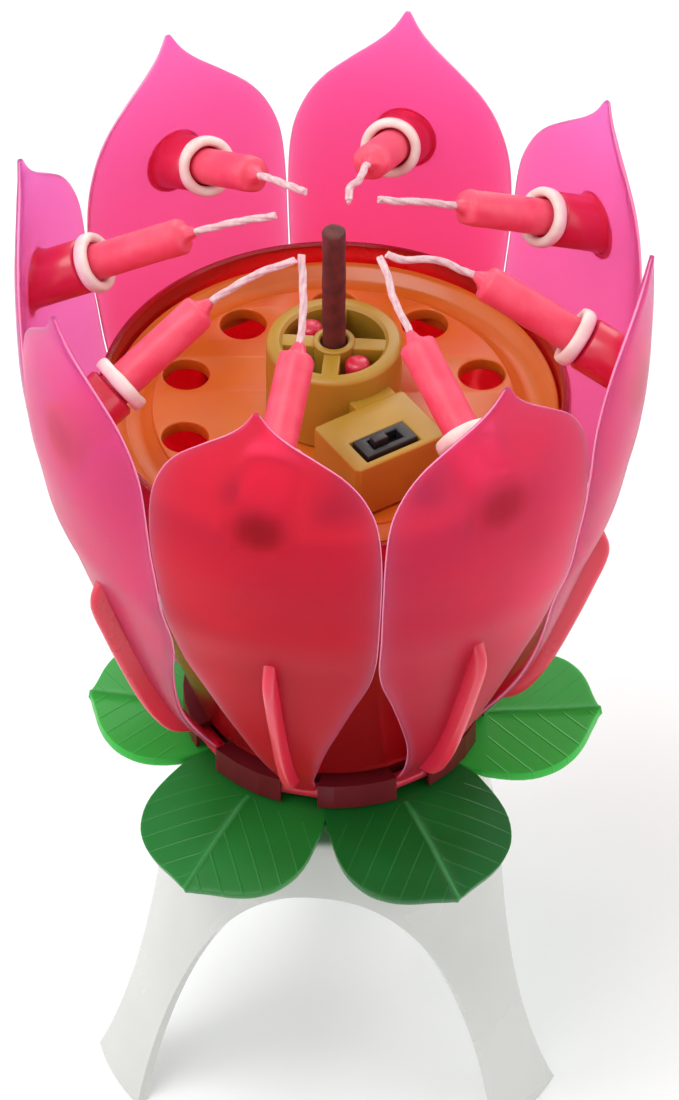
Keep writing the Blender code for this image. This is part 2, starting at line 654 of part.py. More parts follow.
def petal_mesh():
    """One petal with its hinge pin, rib and candle socket, its origin on the hinge axis."""
    line = petal_line()
    shape = bmesh.new()
    rows = len(PETAL_WIDTH_SHARES)
    bmesh.ops.create_grid(shape, x_segments=PETAL_COLUMNS, y_segments=rows - 1, size=1)
    for vert in shape.verts:
        row = round((vert.co.y + 1) / 2 * (rows - 1))
        across = vert.co.x
        share, width_share = PETAL_WIDTH_SHARES[row]
        (out, up), _ = line_place(line, share)
        side = across * width_share * PETAL_HALF_WIDTH
        vert.co = (out - side ** 2 / (2 * PETAL_CROSS_RADIUS), side, up)
    petal = add_object("petal_master", mesh_from_bmesh("petal_shell", shape), PINK)
    thick = petal.modifiers.new("thickness", "SOLIDIFY")
    thick.thickness = PETAL_THICKNESS
    thick.offset = 0

    pin = cylinder("petal_pin", HINGE_PIN_RADIUS, -HINGE_PIN_LENGTH / 2, HINGE_PIN_LENGTH / 2, cutter=True)
    pin.rotation_euler.x = math.pi / 2
    boolean(petal, pin, "UNION")

    outer, inner = [], []
    for share, height_share in RIB_SHARES:
        (out, up), (normal_out, normal_up) = line_place(line, share)
        proud = PETAL_THICKNESS / 2 + RIB_HEIGHT * height_share
        outer.append((out + normal_out * proud, up + normal_up * proud))
        inner.append((out, up))
    rib = flat_outline("petal_rib", outer + inner[::-1], RIB_THICKNESS / 2)
    rib.rotation_euler.x = math.pi / 2
    boolean(petal, rib, "UNION")

    frame = socket_frame()
    socket = cylinder("petal_socket", SOCKET_RADIUS, 0, SOCKET_LENGTH, steps=ROUND_STEPS_SMALL + 4,
                      cutter=True)
    slope = math.tan(math.radians(SOCKET_TILT))
    for vert in socket.data.vertices:
        if vert.co.z < SOCKET_LENGTH / 2:
            vert.co.z = vert.co.x * slope
    socket.matrix_world = frame
    boolean(petal, socket, "UNION")
    bore = cylinder("petal_bore", SOCKET_BORE, SOCKET_FLOOR + SOCKET_RADIUS * slope,
                    SOCKET_LENGTH + CUT_OVERRUN, cutter=True)
    bore.matrix_world = frame
    boolean(petal, bore, "DIFFERENCE")

    petal = bake(petal)
    mesh = petal.data
    for piece in (petal, pin, rib, socket, bore):
        bpy.data.objects.remove(piece)
    smooth(mesh)
    return mesh


def build_petals():
    """Eight petals on their pins, each with its candle, collar and wick."""
    mesh = petal_mesh()
    frame = socket_frame()
    candle_bottom = SOCKET_FLOOR + SOCKET_RADIUS * math.tan(math.radians(SOCKET_TILT)) + FIT_GAP
    collar_height = SOCKET_LENGTH + FIT_GAP + COLLAR_HEIGHT / 2
    candle_top = collar_height + CANDLE_PROUD
    wick_bore = WICK_RADIUS + FIT_GAP
    for index, bearing in enumerate(even_bearings(PETAL_COUNT, FIRST_PETAL_BEARING)):
        number = index + 1
        hinge = outward(bearing) * HINGE_RADIUS + Vector((0, 0, HINGE_HEIGHT))
        petal = bpy.data.objects.new(f"petal_{number}", mesh)
        PARTS.objects.link(petal)
        petal.location = hinge
        petal.rotation_euler.z = facing(bearing)

        candle = turned(f"candle_{number}", [
            (wick_bore, candle_top), (CANDLE_RADIUS - CANDLE_SHOULDER, candle_top),
            (CANDLE_RADIUS, candle_top - CANDLE_SHOULDER), (CANDLE_RADIUS, candle_bottom),
            (wick_bore, candle_bottom)], WAX, ROUND_STEPS_SMALL)
        shape = bmesh.new()
        ring = [shape.verts.new((COLLAR_RADIUS + COLLAR_WIDTH / 2 * math.cos(angle), 0,
                                 collar_height - COLLAR_HEIGHT / 2 * math.sin(angle)))
                for angle in (2 * math.pi * step / COLLAR_EDGE_STEPS for step in range(COLLAR_EDGE_STEPS))]
        for start, end in zip(ring, ring[1:] + ring[:1]):
            shape.edges.new((start, end))
        collar_mesh = bpy.data.meshes.new(f"collar_{number}")
        shape.to_mesh(collar_mesh)
        shape.free()
        collar = add_object(f"collar_{number}", collar_mesh, IVORY)
        screw = collar.modifiers.new("turn", "SCREW")
        screw.steps = ROUND_STEPS_SMALL + 2
        screw.render_steps = ROUND_STEPS_SMALL + 2
        screw.use_merge_vertices = True
        screw.merge_threshold = MERGE_DISTANCE

        bend_x, bend_y = WICK_BEND_SHARES[index % len(WICK_BEND_SHARES)]
        points = [(0, 0, candle_bottom)]
        for step in range(WICK_STEPS + 1):
            share = step / WICK_STEPS
            points.append((WICK_SAG * bend_x * share ** 2, WICK_SAG * bend_y * share ** 2,
                           candle_top + WICK_PROUD * share))
        wick = wire_curve(f"wick_{number}", points, WICK_RADIUS, COTTON, 1)
        for piece in (candle, collar, wick):
            piece.parent = petal
            piece.matrix_local = frame


def build_bowl():
    """Red bowl: a cone that opens to a short drum, with a floor that carries the motor and the cells."""
    cone_top = BOWL_BOTTOM + BOWL_CONE_HEIGHT
    drum = BOWL_RADIUS
    step = BOWL_STEP
    ledge = drum - BOWL_WALL - DECK_LEDGE_WIDTH
    ledge_top = DECK_BOTTOM - DECK_CHANNEL_DEPTH - FIT_GAP
    bowl = turned("bowl", [
        (0, BOWL_FLOOR_TOP), (BOWL_FOOT_RADIUS - BOWL_WALL, BOWL_FLOOR_TOP), (ledge - step, cone_top),
        (ledge, cone_top + step), (ledge, ledge_top), (drum - BOWL_WALL, ledge_top),
        (drum - BOWL_WALL, BOWL_TOP), (drum, BOWL_TOP), (drum, cone_top + step), (drum - step, cone_top),
        (BOWL_FOOT_RADIUS, BOWL_BOTTOM), (0, BOWL_BOTTOM)], RED)
    shaft_hole = cylinder("shaft_hole", MOTOR_SHAFT_RADIUS + 2 * FIT_GAP, BOWL_BOTTOM - CUT_OVERRUN,
                          BOWL_FLOOR_TOP + CUT_OVERRUN, cutter=True)
    shaft_hole.location = outward(MOTOR_BEARING) * GEAR_CENTRES
    boolean(bowl, shaft_hole, "DIFFERENCE")
    screw_hole = cylinder("screw_hole", SCREW_HEAD_RADIUS + 2 * FIT_GAP, BOWL_BOTTOM - CUT_OVERRUN,
                          BOWL_FLOOR_TOP + CUT_OVERRUN, cutter=True)
    boolean(bowl, screw_hole, "DIFFERENCE")


def build_deck():
    """Yellow deck with ten round holes, a sunken channel round its disc and two posts for the board."""
    outer = BOWL_RADIUS - BOWL_WALL - FIT_GAP
    channel = DECK_TOP - DECK_CHANNEL_DEPTH
    lip = outer - DECK_LIP_WIDTH
    slope = DECK_CHANNEL_DEPTH
    bottom = DECK_BOTTOM - DECK_CHANNEL_DEPTH
    deck = turned("deck", [
        (0, DECK_TOP), (DECK_DISC_RADIUS, DECK_TOP), (DECK_DISC_RADIUS + slope, channel),
        (lip - slope, channel), (lip, DECK_TOP), (outer, DECK_TOP), (outer, bottom),
        (DECK_DISC_RADIUS, bottom), (DECK_DISC_RADIUS - slope, DECK_BOTTOM), (0, DECK_BOTTOM)], YELLOW)
    hole = cylinder("deck_hole", DECK_HOLE_RADIUS, DECK_BOTTOM - CUT_OVERRUN, DECK_TOP + CUT_OVERRUN,
                    cutter=True)
    hole.location.x = DECK_HOLE_CIRCLE
    bpy.context.view_layer.update()
    half_step = 180 / DECK_HOLE_COUNT
    boolean(deck, ring_of("deck_holes", hole, even_bearings(DECK_HOLE_COUNT, 90 + half_step)), "DIFFERENCE")
    for side in (-1, 1):
        post = turned(f"board_post_{side + 2}", [
            (0, DECK_BOTTOM + DECK_THICKNESS / 2), (BOARD_POST_RADIUS, DECK_BOTTOM + DECK_THICKNESS / 2),
            (BOARD_POST_RADIUS, BOARD_TOP + FIT_GAP), (BOARD_PIN_RADIUS, BOARD_TOP + FIT_GAP),
            (BOARD_PIN_RADIUS, BOARD_TOP + FIT_GAP - BOARD_PIN_LENGTH),
            (0, BOARD_TOP + FIT_GAP - BOARD_PIN_LENGTH)], steps=ROUND_STEPS_SMALL, cutter=True)
        post.location.x = side * BOARD_POST_SPACING / 2
        boolean(deck, post, "UNION")


def switch_box(name, gap, bottom, top, material=None, cutter=True):
    """Upright box of the switch's outline, grown by a gap, at the switch's place."""
    half_width = SWITCH_WIDTH / 2 + gap
    half_length = SWITCH_LENGTH / 2 + gap
    piece = box(name, (SWITCH_CIRCLE - half_width, SWITCH_SHIFT - half_length, bottom),
                (SWITCH_CIRCLE + half_width, SWITCH_SHIFT + half_length, top), material, cutter)
    piece.rotation_euler.z = facing(PLATFORM_BEARING)
    return piece


def build_boss():
    """Yellow centre piece: a ring with a four-armed spider and hub, and the hollow switch platform."""
    spider_top = BOSS_TOP - BOSS_SPIDER_RECESS
    spider_bottom = spider_top - BOSS_SPIDER
    inner = BOSS_RADIUS - BOSS_WALL
    boss = turned("centre_boss", [(0, BOSS_TOP), (BOSS_RADIUS, BOSS_TOP), (BOSS_RADIUS, BOSS_BOTTOM),
                                  (0, BOSS_BOTTOM)], YELLOW, ROUND_STEPS_MEDIUM + ROUND_STEPS_SMALL)
    low_side = PLATFORM_SHIFT - PLATFORM_WIDTH / 2
    high_side = PLATFORM_SHIFT + PLATFORM_WIDTH / 2
    platform = box("boss_platform", (PLATFORM_START, low_side, BOSS_BOTTOM),
                   (PLATFORM_REACH, high_side, PLATFORM_TOP), cutter=True)
    neck_end = PLATFORM_START + PLATFORM_WALL / 2
    neck = box("boss_neck", (0, -NECK_WIDTH / 2, BOSS_BOTTOM + NECK_BELOW_TOP),
               (neck_end, NECK_WIDTH / 2, PLATFORM_TOP - NECK_BELOW_TOP), cutter=True)
    hollow = box("platform_hollow", (PLATFORM_START + PLATFORM_WALL, low_side + PLATFORM_WALL,
                                     BOSS_BOTTOM - CUT_OVERRUN),
                 (PLATFORM_REACH - PLATFORM_WALL, high_side - PLATFORM_WALL, PLATFORM_TOP - PLATFORM_WALL),
                 cutter=True)
    well = cylinder("boss_well", inner, BOSS_BOTTOM - CUT_OVERRUN, BOSS_TOP + CUT_OVERRUN,
                    steps=ROUND_STEPS_MEDIUM + ROUND_STEPS_SMALL, cutter=True)
    for piece in (platform, neck, hollow):
        piece.rotation_euler.z = facing(PLATFORM_BEARING)
    boolean(boss, neck, "UNION")
    boolean(boss, platform, "UNION")
    boolean(boss, hollow, "DIFFERENCE")
    boolean(boss, well, "DIFFERENCE")
    hub_radius = SPARK_RADIUS + FIT_GAP + BOSS_HUB_WALL
    hub = cylinder("boss_hub", hub_radius, BOSS_BOTTOM + BOSS_SPIDER_RECESS, BOSS_TOP,
                   steps=ROUND_STEPS_SMALL + 4, cutter=True)
    middle = BOSS_RADIUS - BOSS_WALL / 2
    for index in range(2):
        bar = box(f"boss_bar_{index}", (-middle, -BOSS_BAR_WIDTH / 2, spider_bottom),
                  (middle, BOSS_BAR_WIDTH / 2, spider_top), cutter=True)
        bar.rotation_euler.z = facing(BOSS_BAR_BEARING + 90 * index)
        boolean(boss, bar, "UNION")
    boolean(boss, hub, "UNION")
    bore = cylinder("spark_bore", SPARK_RADIUS + FIT_GAP, BOSS_BOTTOM - CUT_OVERRUN, BOSS_TOP + CUT_OVERRUN,
                    cutter=True)
    boolean(boss, bore, "DIFFERENCE")
    window = switch_box("platform_window", FIT_GAP, PLATFORM_TOP - PLATFORM_WALL - CUT_OVERRUN,
                        PLATFORM_TOP + CUT_OVERRUN)
    boolean(boss, window, "DIFFERENCE")

    cylinder("spark_stick", SPARK_RADIUS, BOSS_BOTTOM, BOSS_TOP + SPARK_PROUD, SPARK)
    for index, name in enumerate(("peg_front", "peg_rear")):
        peg = cylinder(name, PEG_RADIUS, BOSS_BOTTOM, BOSS_TOP - PEG_BELOW_TOP, RED)
        peg.location = outward(BOSS_BAR_BEARING + 45 + 180 * index) * (inner + hub_radius) / 2


def build_switch():
    """Black slide switch let into the platform, with its small sliding knob."""
    top = PLATFORM_TOP + SWITCH_PROUD
    body = switch_box("switch_body", 0, top - SWITCH_HEIGHT, top, BLACK, cutter=False)
    slot_width = SWITCH_WIDTH / 2
    slot_length = KNOB_LENGTH + KNOB_TRAVEL + 2 * FIT_GAP
    slot = box("switch_slot", (SWITCH_CIRCLE - slot_width / 2, SWITCH_SHIFT - slot_length / 2,
                               top - SWITCH_SLOT_DEPTH),
               (SWITCH_CIRCLE + slot_width / 2, SWITCH_SHIFT + slot_length / 2, top + CUT_OVERRUN),
               cutter=True)
    slot.rotation_euler.z = facing(PLATFORM_BEARING)
    boolean(body, slot, "DIFFERENCE")
    knob_width = slot_width - 2 * FIT_GAP
    knob_bottom = top - SWITCH_SLOT_DEPTH + FIT_GAP
    knob_start = SWITCH_SHIFT - KNOB_LENGTH / 2 - KNOB_TRAVEL / 2
    knob = box("switch_knob", (SWITCH_CIRCLE - knob_width / 2, knob_start, knob_bottom),
               (SWITCH_CIRCLE + knob_width / 2, knob_start + KNOB_LENGTH, top + KNOB_PROUD), BLACK)
    knob.rotation_euler.z = facing(PLATFORM_BEARING)


def build_battery():
    """Three button cells stacked in a round holder over a coil spring, under a contact strip."""
    place = outward(MOTOR_BEARING + 180) * HOLDER_OFFSET
    bore = CELL_RADIUS + FIT_GAP
    floor = HOLDER_BOTTOM + HOLDER_FLOOR
    holder = turned("battery_holder", [(0, floor), (bore, floor), (bore, HOLDER_TOP),
                                       (HOLDER_RADIUS, HOLDER_TOP), (HOLDER_RADIUS, HOLDER_BOTTOM),
                                       (0, HOLDER_BOTTOM)], BLACK, ROUND_STEPS_MEDIUM)
    holder.location = place
    for index in range(CELL_COUNT):
        bottom = FIRST_CELL_BOTTOM + index * CELL_PITCH
        cell = turned(f"button_cell_{index + 1}", [
            (0, bottom + CELL_HEIGHT), (CELL_RADIUS, bottom + CELL_HEIGHT), (CELL_RADIUS, bottom + CELL_STEP),
            (CELL_RADIUS - CELL_STEP, bottom + CELL_STEP), (CELL_RADIUS - CELL_STEP, bottom), (0, bottom)],
            STEEL, ROUND_STEPS_MEDIUM)
        cell.location = place
    steps = round(SPRING_TURNS * SPRING_STEPS)
    low = SPRING_BOTTOM + SPRING_WIRE_RADIUS
    high = SPRING_BOTTOM + SPRING_HEIGHT - SPRING_WIRE_RADIUS
    points = []
    for step in range(steps + 1):
        share = step / steps
        angle = 2 * math.pi * SPRING_TURNS * share
        radius = SPRING_RADIUS * (1 + (SPRING_TOP_SHARE - 1) * share)
        points.append((radius * math.cos(angle), radius * math.sin(angle), low + (high - low) * share))
    spring = wire_curve("contact_spring", points, SPRING_WIRE_RADIUS, STEEL, 1)
    spring.location = place
    strip_bottom = HOLDER_TOP + FIT_GAP
    strip = box("contact_strip", (-HOLDER_RADIUS, -STRIP_WIDTH / 2, strip_bottom),
                (HOLDER_RADIUS, STRIP_WIDTH / 2, strip_bottom + STRIP_THICKNESS), BRASS)
    strip.location = place
    strip.rotation_euler.z = facing(MOTOR_BEARING)


def build_board():
    """Melody board staked under the deck, with its chip below and its sounder disc above."""
    board = box("melody_board", (-BOARD_LENGTH / 2, -BOARD_WIDTH / 2, BOARD_BOTTOM),
                (BOARD_LENGTH / 2, BOARD_WIDTH / 2, BOARD_TOP), BOARD_GREEN)
    for side in (-1, 1):
        hole = cylinder(f"board_hole_{side + 2}", BOARD_PIN_RADIUS + FIT_GAP, BOARD_BOTTOM - CUT_OVERRUN,
                        BOARD_TOP + CUT_OVERRUN, cutter=True)
        hole.location.x = side * BOARD_POST_SPACING / 2
        boolean(board, hole, "DIFFERENCE")
    cylinder("sounder_disc", SOUNDER_RADIUS, BOARD_TOP + FIT_GAP, BOARD_TOP + FIT_GAP + SOUNDER_THICKNESS,
             BRASS, ROUND_STEPS_MEDIUM)
    top = BOARD_BOTTOM - FIT_GAP
    dome = [(CHIP_RADIUS * out, top - CHIP_HEIGHT * down) for out, down in CHIP_DOME_SHARES]
    turned("melody_chip", [(0, top)] + dome, BLACK, ROUND_STEPS_SMALL)


def build_wires():
    """Leads from the board down to the contact strip and to the motor."""
    under_board = BOARD_BOTTOM - FIT_GAP - WIRE_RADIUS
    board_side = BOARD_WIDTH / 2 - 2 * WIRE_RADIUS
    strip_top = HOLDER_TOP + FIT_GAP + STRIP_THICKNESS
    motor_top = BOWL_FLOOR_TOP + FIT_GAP + MOTOR_HEIGHT + MOTOR_NOSE_HEIGHT
    holder_place = outward(MOTOR_BEARING + 180) * HOLDER_OFFSET
    motor_place = outward(MOTOR_BEARING) * GEAR_CENTRES
    for name, foot, foot_top, side, material in (
            ("battery_wire", holder_place, strip_top, -1, RED_WIRE),
            ("motor_wire", motor_place, motor_top, 1, BLACK)):
        start = Vector((foot.x, foot.y, foot_top + FIT_GAP))
        end = Vector((side * BOARD_LENGTH / 4, side * board_side, under_board))
        rise = end.z - start.z
        bow = outward(MOTOR_BEARING + (180 if side < 0 else 0)) * BOARD_WIDTH / 4
        points = []
        for step in range(WIRE_STEPS + 1):
            share = step / WIRE_STEPS
            blend = share * share * (3 - 2 * share)
            place = start.lerp(Vector((end.x, end.y, start.z)), blend) + bow * math.sin(math.pi * share) ** 2
            place.z = start.z + rise * share
            points.append(place)
        wire_curve(name, points, WIRE_RADIUS, material, 1)


for leftover in list(bpy.data.objects):
    bpy.data.objects.remove(leftover)

PARTS = make_collection("lotus_candle")
CUTTERS = make_collection("cutters")

WHITE = make_material("white_plastic", (0.86, 0.86, 0.84), 0.35)
NYLON = make_material("nylon", (0.80, 0.80, 0.76), 0.5)
GREEN = make_material("green_plastic", (0.03, 0.33, 0.07), 0.4)
RED = make_material("red_plastic", (0.72, 0.02, 0.06), 0.3)
PINK = make_material("pink_petal_plastic", (0.93, 0.14, 0.42), 0.35)
YELLOW = make_material("yellow_plastic", (0.85, 0.42, 0.03), 0.4)
WAX = make_material("pink_wax", (0.92, 0.22, 0.32), 0.55)
COTTON = make_material("wick_cotton", (0.90, 0.72, 0.74), 0.9)
IVORY = make_material("ivory_plastic", (0.88, 0.76, 0.70), 0.5)
SPARK = make_material("spark_compound", (0.20, 0.03, 0.02), 0.8)
BLACK = make_material("black_plastic", (0.02, 0.02, 0.02), 0.5)
STEEL = make_material("steel", (0.62, 0.62, 0.63), 0.3, 1.0)
BRASS = make_material("brass", (0.75, 0.56, 0.24), 0.35, 1.0)
BOARD_GREEN = make_material("board_green", (0.02, 0.22, 0.08), 0.5)
RED_WIRE = make_material("red_wire", (0.70, 0.03, 0.03), 0.5)

build_stand()
build_drive()
build_calyx()
build_hinge_ring()
build_petals()
build_bowl()
build_deck()
build_boss()
build_switch()
build_battery()
build_board()
build_wires()
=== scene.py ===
"""Musical flower birthday candle: the finished looks of every piece.

Lengths are metres, +Z is up, the front faces -Y. Bearings are degrees seen from above, from the
front (-Y) towards the right (+X).
"""

import random
from math import asin, cos, degrees, dist, exp, hypot, pi, radians, sin, sqrt, tan

import bmesh
import bpy
from mathutils import Matrix, Vector, noise


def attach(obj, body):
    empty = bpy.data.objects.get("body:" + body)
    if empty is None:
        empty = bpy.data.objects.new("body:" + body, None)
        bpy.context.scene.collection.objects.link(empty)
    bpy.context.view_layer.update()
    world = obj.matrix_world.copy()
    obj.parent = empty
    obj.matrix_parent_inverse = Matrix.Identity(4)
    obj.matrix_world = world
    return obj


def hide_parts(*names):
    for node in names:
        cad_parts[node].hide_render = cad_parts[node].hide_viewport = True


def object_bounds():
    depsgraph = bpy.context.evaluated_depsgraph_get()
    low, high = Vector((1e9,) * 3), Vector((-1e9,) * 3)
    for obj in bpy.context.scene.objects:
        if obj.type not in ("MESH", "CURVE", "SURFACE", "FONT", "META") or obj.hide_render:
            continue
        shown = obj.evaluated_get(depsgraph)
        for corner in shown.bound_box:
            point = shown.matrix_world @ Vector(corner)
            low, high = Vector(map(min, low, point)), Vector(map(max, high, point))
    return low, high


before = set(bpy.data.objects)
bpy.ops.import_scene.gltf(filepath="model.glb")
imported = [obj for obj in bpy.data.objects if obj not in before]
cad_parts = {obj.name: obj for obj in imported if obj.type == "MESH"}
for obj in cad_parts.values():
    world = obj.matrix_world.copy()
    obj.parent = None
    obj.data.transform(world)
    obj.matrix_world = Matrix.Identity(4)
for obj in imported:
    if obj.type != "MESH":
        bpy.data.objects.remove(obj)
cad_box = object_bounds()


# Table and light
# A white table top and a plain white room, lit softly from above, from behind and from both sides,
# and the camera that looks down on the open flower from the front.
scene = bpy.context.scene
look_down = radians(41.6)
camera_distance = 1.2
flower_middle = Vector((0.0007, 0, 0.0829))
table_drop = 0.00005
table_half_width = 3.0
lamp_aim = Vector((0, 0, 0.08))

camera_data = bpy.data.cameras.new("camera")
camera_data.sensor_fit = "VERTICAL"
camera_data.sensor_height = 24
camera_data.lens = 201.4
camera_data.clip_start = 0.01
camera = bpy.data.objects.new("camera", camera_data)
camera.location = flower_middle + camera_distance * Vector((0, -cos(look_down), sin(look_down)))
camera.rotation_euler = (pi / 2 - look_down, 0, 0)
scene.collection.objects.link(camera)
scene.camera = camera
scene.view_settings.view_transform = "Standard"


def feed(tree, target, fixed=(), fed=()):
    """Sets constant values on one step of a finish and feeds the rest of it from its sources."""
    for socket, value in dict(fixed).items():
        target.inputs[socket].default_value = value
    for socket, source in dict(fed).items():
        tree.links.new(source, target.inputs[socket])
    return target


def add_step(tree, kind, fixed=(), fed=(), **settings):
    """Adds one step to a finish, with its own settings, its constant values and its sources."""
    added = tree.nodes.new("ShaderNode" + kind)
    for setting, value in settings.items():
        setattr(added, setting, value)
    return feed(tree, added, fixed, fed)


room = bpy.data.worlds.new("white_room")
room.use_nodes = True
room_tree = room.node_tree
plain_white = {"Color": (1, 1, 1, 1)}
room_light = feed(room_tree, room_tree.nodes["Background"], {**plain_white, "Strength": 0.62})
room_white = add_step(room_tree, "Background", {**plain_white, "Strength": 1.0})
rays = add_step(room_tree, "LightPath").outputs
seen = add_step(room_tree, "Math", fed={0: rays["Is Camera Ray"], 1: rays["Is Glossy Ray"]}, operation="MAXIMUM")
seen = add_step(room_tree, "Math", fed={0: seen.outputs[0], 1: rays["Is Transmission Ray"]}, operation="MAXIMUM")
room_mix = add_step(room_tree, "MixShader",
                    fed={0: seen.outputs[0], 1: room_light.outputs[0], 2: room_white.outputs[0]})
feed(room_tree, room_tree.nodes["World Output"], fed={"Surface": room_mix.outputs[0]})
scene.world = room


def finish_base(name):
    """A new finish, with the tree of its steps and its shader."""
    material = bpy.data.materials.new(name)
    material.use_nodes = True
    return material, material.node_tree, material.node_tree.nodes["Principled BSDF"]


table_mesh = bpy.data.meshes.new("table_top")
table_shape = bmesh.new()
bmesh.ops.create_grid(table_shape, x_segments=2, y_segments=2, size=table_half_width)
table_shape.to_mesh(table_mesh)
table_shape.free()
table_top = bpy.data.objects.new("table_top", table_mesh)
table_top.location.z = -table_drop
scene.collection.objects.link(table_top)
table_paint, table_tree, table_shader = finish_base("table_white")
feed(table_tree, table_shader, {"Base Color": (0.97, 0.97, 0.97, 1), "Roughness": 0.9, "Specular IOR Level": 0.1})
table_mesh.materials.append(table_paint)

for lamp_name, spot, size, watts in (("lamp_above", (-0.30, -0.25, 1.00), 0.55, 4.2),
                                     ("lamp_left", (-1.00, -0.10, 0.40), 1.10, 4.5),
                                     ("lamp_right", (1.00, -0.15, 0.40), 1.10, 4.0),
                                     ("lamp_behind", (0.25, 0.80, 0.60), 0.60, 2.4)):
    lamp_data = bpy.data.lights.new(lamp_name, "AREA")
    lamp_data.size = size
    lamp_data.energy = watts
    lamp = bpy.data.objects.new(lamp_name, lamp_data)
    lamp.location = spot
    lamp.rotation_euler = (lamp_aim - Vector(spot)).to_track_quat("-Z", "Y").to_euler()
    scene.collection.objects.link(lamp)


# Stand
# One shell of shiny white plastic, a flared cone with three tall arches cut out of it, so that three
# legs stand on the cake. The flower turns on the short post on its top.
stand_height = 0.049
stand_top_radius = 0.0200
stand_foot_radius = 0.0325
stand_flare = 1.5
stand_wall = 0.0014
stand_edge_round = 0.0004
arch_height = 0.0402
arch_half_width = 0.0243
arch_steps = 36
first_leg = 54.0
leg_columns = 24
post_radius = 0.0032
post_bore_radius = 0.0012
post_top = 0.0570
post_fillet = 0.0006
post_chamfer = 0.0002


def outward(bearing):
    """Unit vector away from the turning axis at a bearing."""
    return Vector((sin(radians(bearing)), -cos(radians(bearing)), 0))


def put_together(name, shape, material, body, stands_for=(), flat_above=38):
    """Makes a piece from its mesh, gives it its finish and lets it ride on its body."""
    mesh = bpy.data.meshes.new(name)
    shape.to_mesh(mesh)
    shape.free()
    mesh.materials.append(material)
    mesh.shade_smooth()
    mesh.set_sharp_from_angle(angle=radians(flat_above))
    piece = bpy.data.objects.new(name, mesh)
    scene.collection.objects.link(piece)
    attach(piece, body)
    if stands_for:
        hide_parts(*stands_for)
    return piece


def skin(shape, lines, closed=True):
    """Spans faces from each line of points to the next; closed lines go all the way round."""
    for low, high in zip(lines, lines[1:]):
        for step in range(len(low) if closed else len(low) - 1):
            ahead = (step + 1) % len(low)
            shape.faces.new((low[step], low[ahead], high[ahead], high[step]))


def close_up(shape, weld=0.0):
    """Joins the points that meet and turns every face outward."""
    if weld:
        bmesh.ops.remove_doubles(shape, verts=shape.verts, dist=weld)
    bmesh.ops.recalc_face_normals(shape, faces=shape.faces)


def plastic(name, colour, deep, roughness, grain, bump, glow=0.0, coat=0.0, clear=0.0,
            gloss=0.5):
    """Moulded plastic: two close tones in soft clouds, a fine grain, and light let into or through its skin."""
    material, tree, shader = finish_base(name)
    where = {"Vector": add_step(tree, "TexCoord").outputs["Object"]}
    clouds = add_step(tree, "TexNoise", {"Scale": grain, "Detail": 3}, where).outputs["Fac"]
    tones = add_step(tree, "ValToRGB", fed={"Fac": clouds})
    for stop, place, tone in zip(tones.color_ramp.elements, (0.35, 0.65), (deep, colour)):
        stop.position, stop.color = place, (*tone, 1)
    shine = add_step(tree, "MapRange", {"To Min": roughness * 0.85, "To Max": roughness * 1.2}, {"Value": clouds})
    grains = add_step(tree, "TexNoise", {"Scale": grain * 12}, where).outputs["Fac"]
    relief = add_step(tree, "Bump", {"Strength": bump, "Distance": 0.0002}, {"Height": grains})
    feed(tree, shader,
         {"Subsurface Weight": glow, "Subsurface Radius": (1.0, 0.35, 0.35), "Subsurface Scale": 0.002,
          "Coat Weight": coat, "Coat Roughness": 0.12, "Transmission Weight": clear, "Specular IOR Level": gloss},
         {"Base Color": tones.outputs["Color"], "Roughness": shine.outputs["Result"],
          "Normal": relief.outputs["Normal"]})
    return material


white_plastic = plastic("white_plastic", (0.62, 0.625, 0.60), (0.58, 0.585, 0.56), 0.26, 60, 0.03, 0.0, 0.35)


def shell_radius(height):
    """Outer radius of the flared shell at a height."""
    return stand_top_radius + (stand_foot_radius - stand_top_radius) * (1 - height / stand_height) ** stand_flare


def leg_half_angle(height):
    """Half the angle that one leg covers at a height, in degrees."""
    if height >= arch_height:
        return 60.0
    opening = arch_half_width * (1 - (height / arch_height) ** 1.2) ** 0.46
    return 60 - degrees(asin(min(1, opening / shell_radius(height))))


stand_shape = bmesh.new()
stand_rows = []
for step in range(arch_steps + 1):
    height = arch_height * sin(pi / 2 * step / arch_steps)
    stand_rows.append((shell_radius(height), height, leg_half_angle(height)))
stand_rows += [(shell_radius(arch_height + rise), arch_height + rise, 60.0) for rise in (0.002, 0.004, 0.006, 0.0079)]
stand_rows += [(stand_top_radius - inset, stand_height - drop, 60.0)
               for inset, drop in ((0.00012, 0.0004), (0.0004, 0.00012), (0.0008, 0), (0.005, 0), (0.011, 0))]
stand_rows += [(post_radius + post_fillet, stand_height, 60.0), (post_radius, stand_height + post_fillet, 60.0),
               (post_radius, post_top - post_chamfer, 60.0), (post_radius - post_chamfer, post_top, 60.0)]
for leg in range(3):
    leg_middle = first_leg + 120 * leg
    skin(stand_shape, [[
        stand_shape.verts.new(outward(leg_middle + half * (2 * column / leg_columns - 1)) * radius
                              + Vector((0, 0, height)))
        for column in range(leg_columns + 1)] for radius, height, half in stand_rows], closed=False)
close_up(stand_shape, 0.00002)
inner_of = {}
for vert in stand_shape.verts[:]:
    radius, height = vert.co.xy.length, vert.co.z
    if height > stand_height + 0.0003:
        inner_radius = max(radius - stand_wall, post_bore_radius)
    else:
        inner_radius = min(radius, shell_radius(height) - stand_wall)
        height = min(height, stand_height - 0.0016)
    share = inner_radius / radius
    inner_of[vert] = stand_shape.verts.new((vert.co.x * share, vert.co.y * share, height))
open_edges = [edge for edge in stand_shape.edges if edge.is_boundary]
for face in stand_shape.faces[:]:
    stand_shape.faces.new([inner_of[vert] for vert in reversed(face.verts)])
for edge in open_edges:
    start, end = edge.verts
    stand_shape.faces.new((start, end, inner_of[end], inner_of[start]))
close_up(stand_shape)
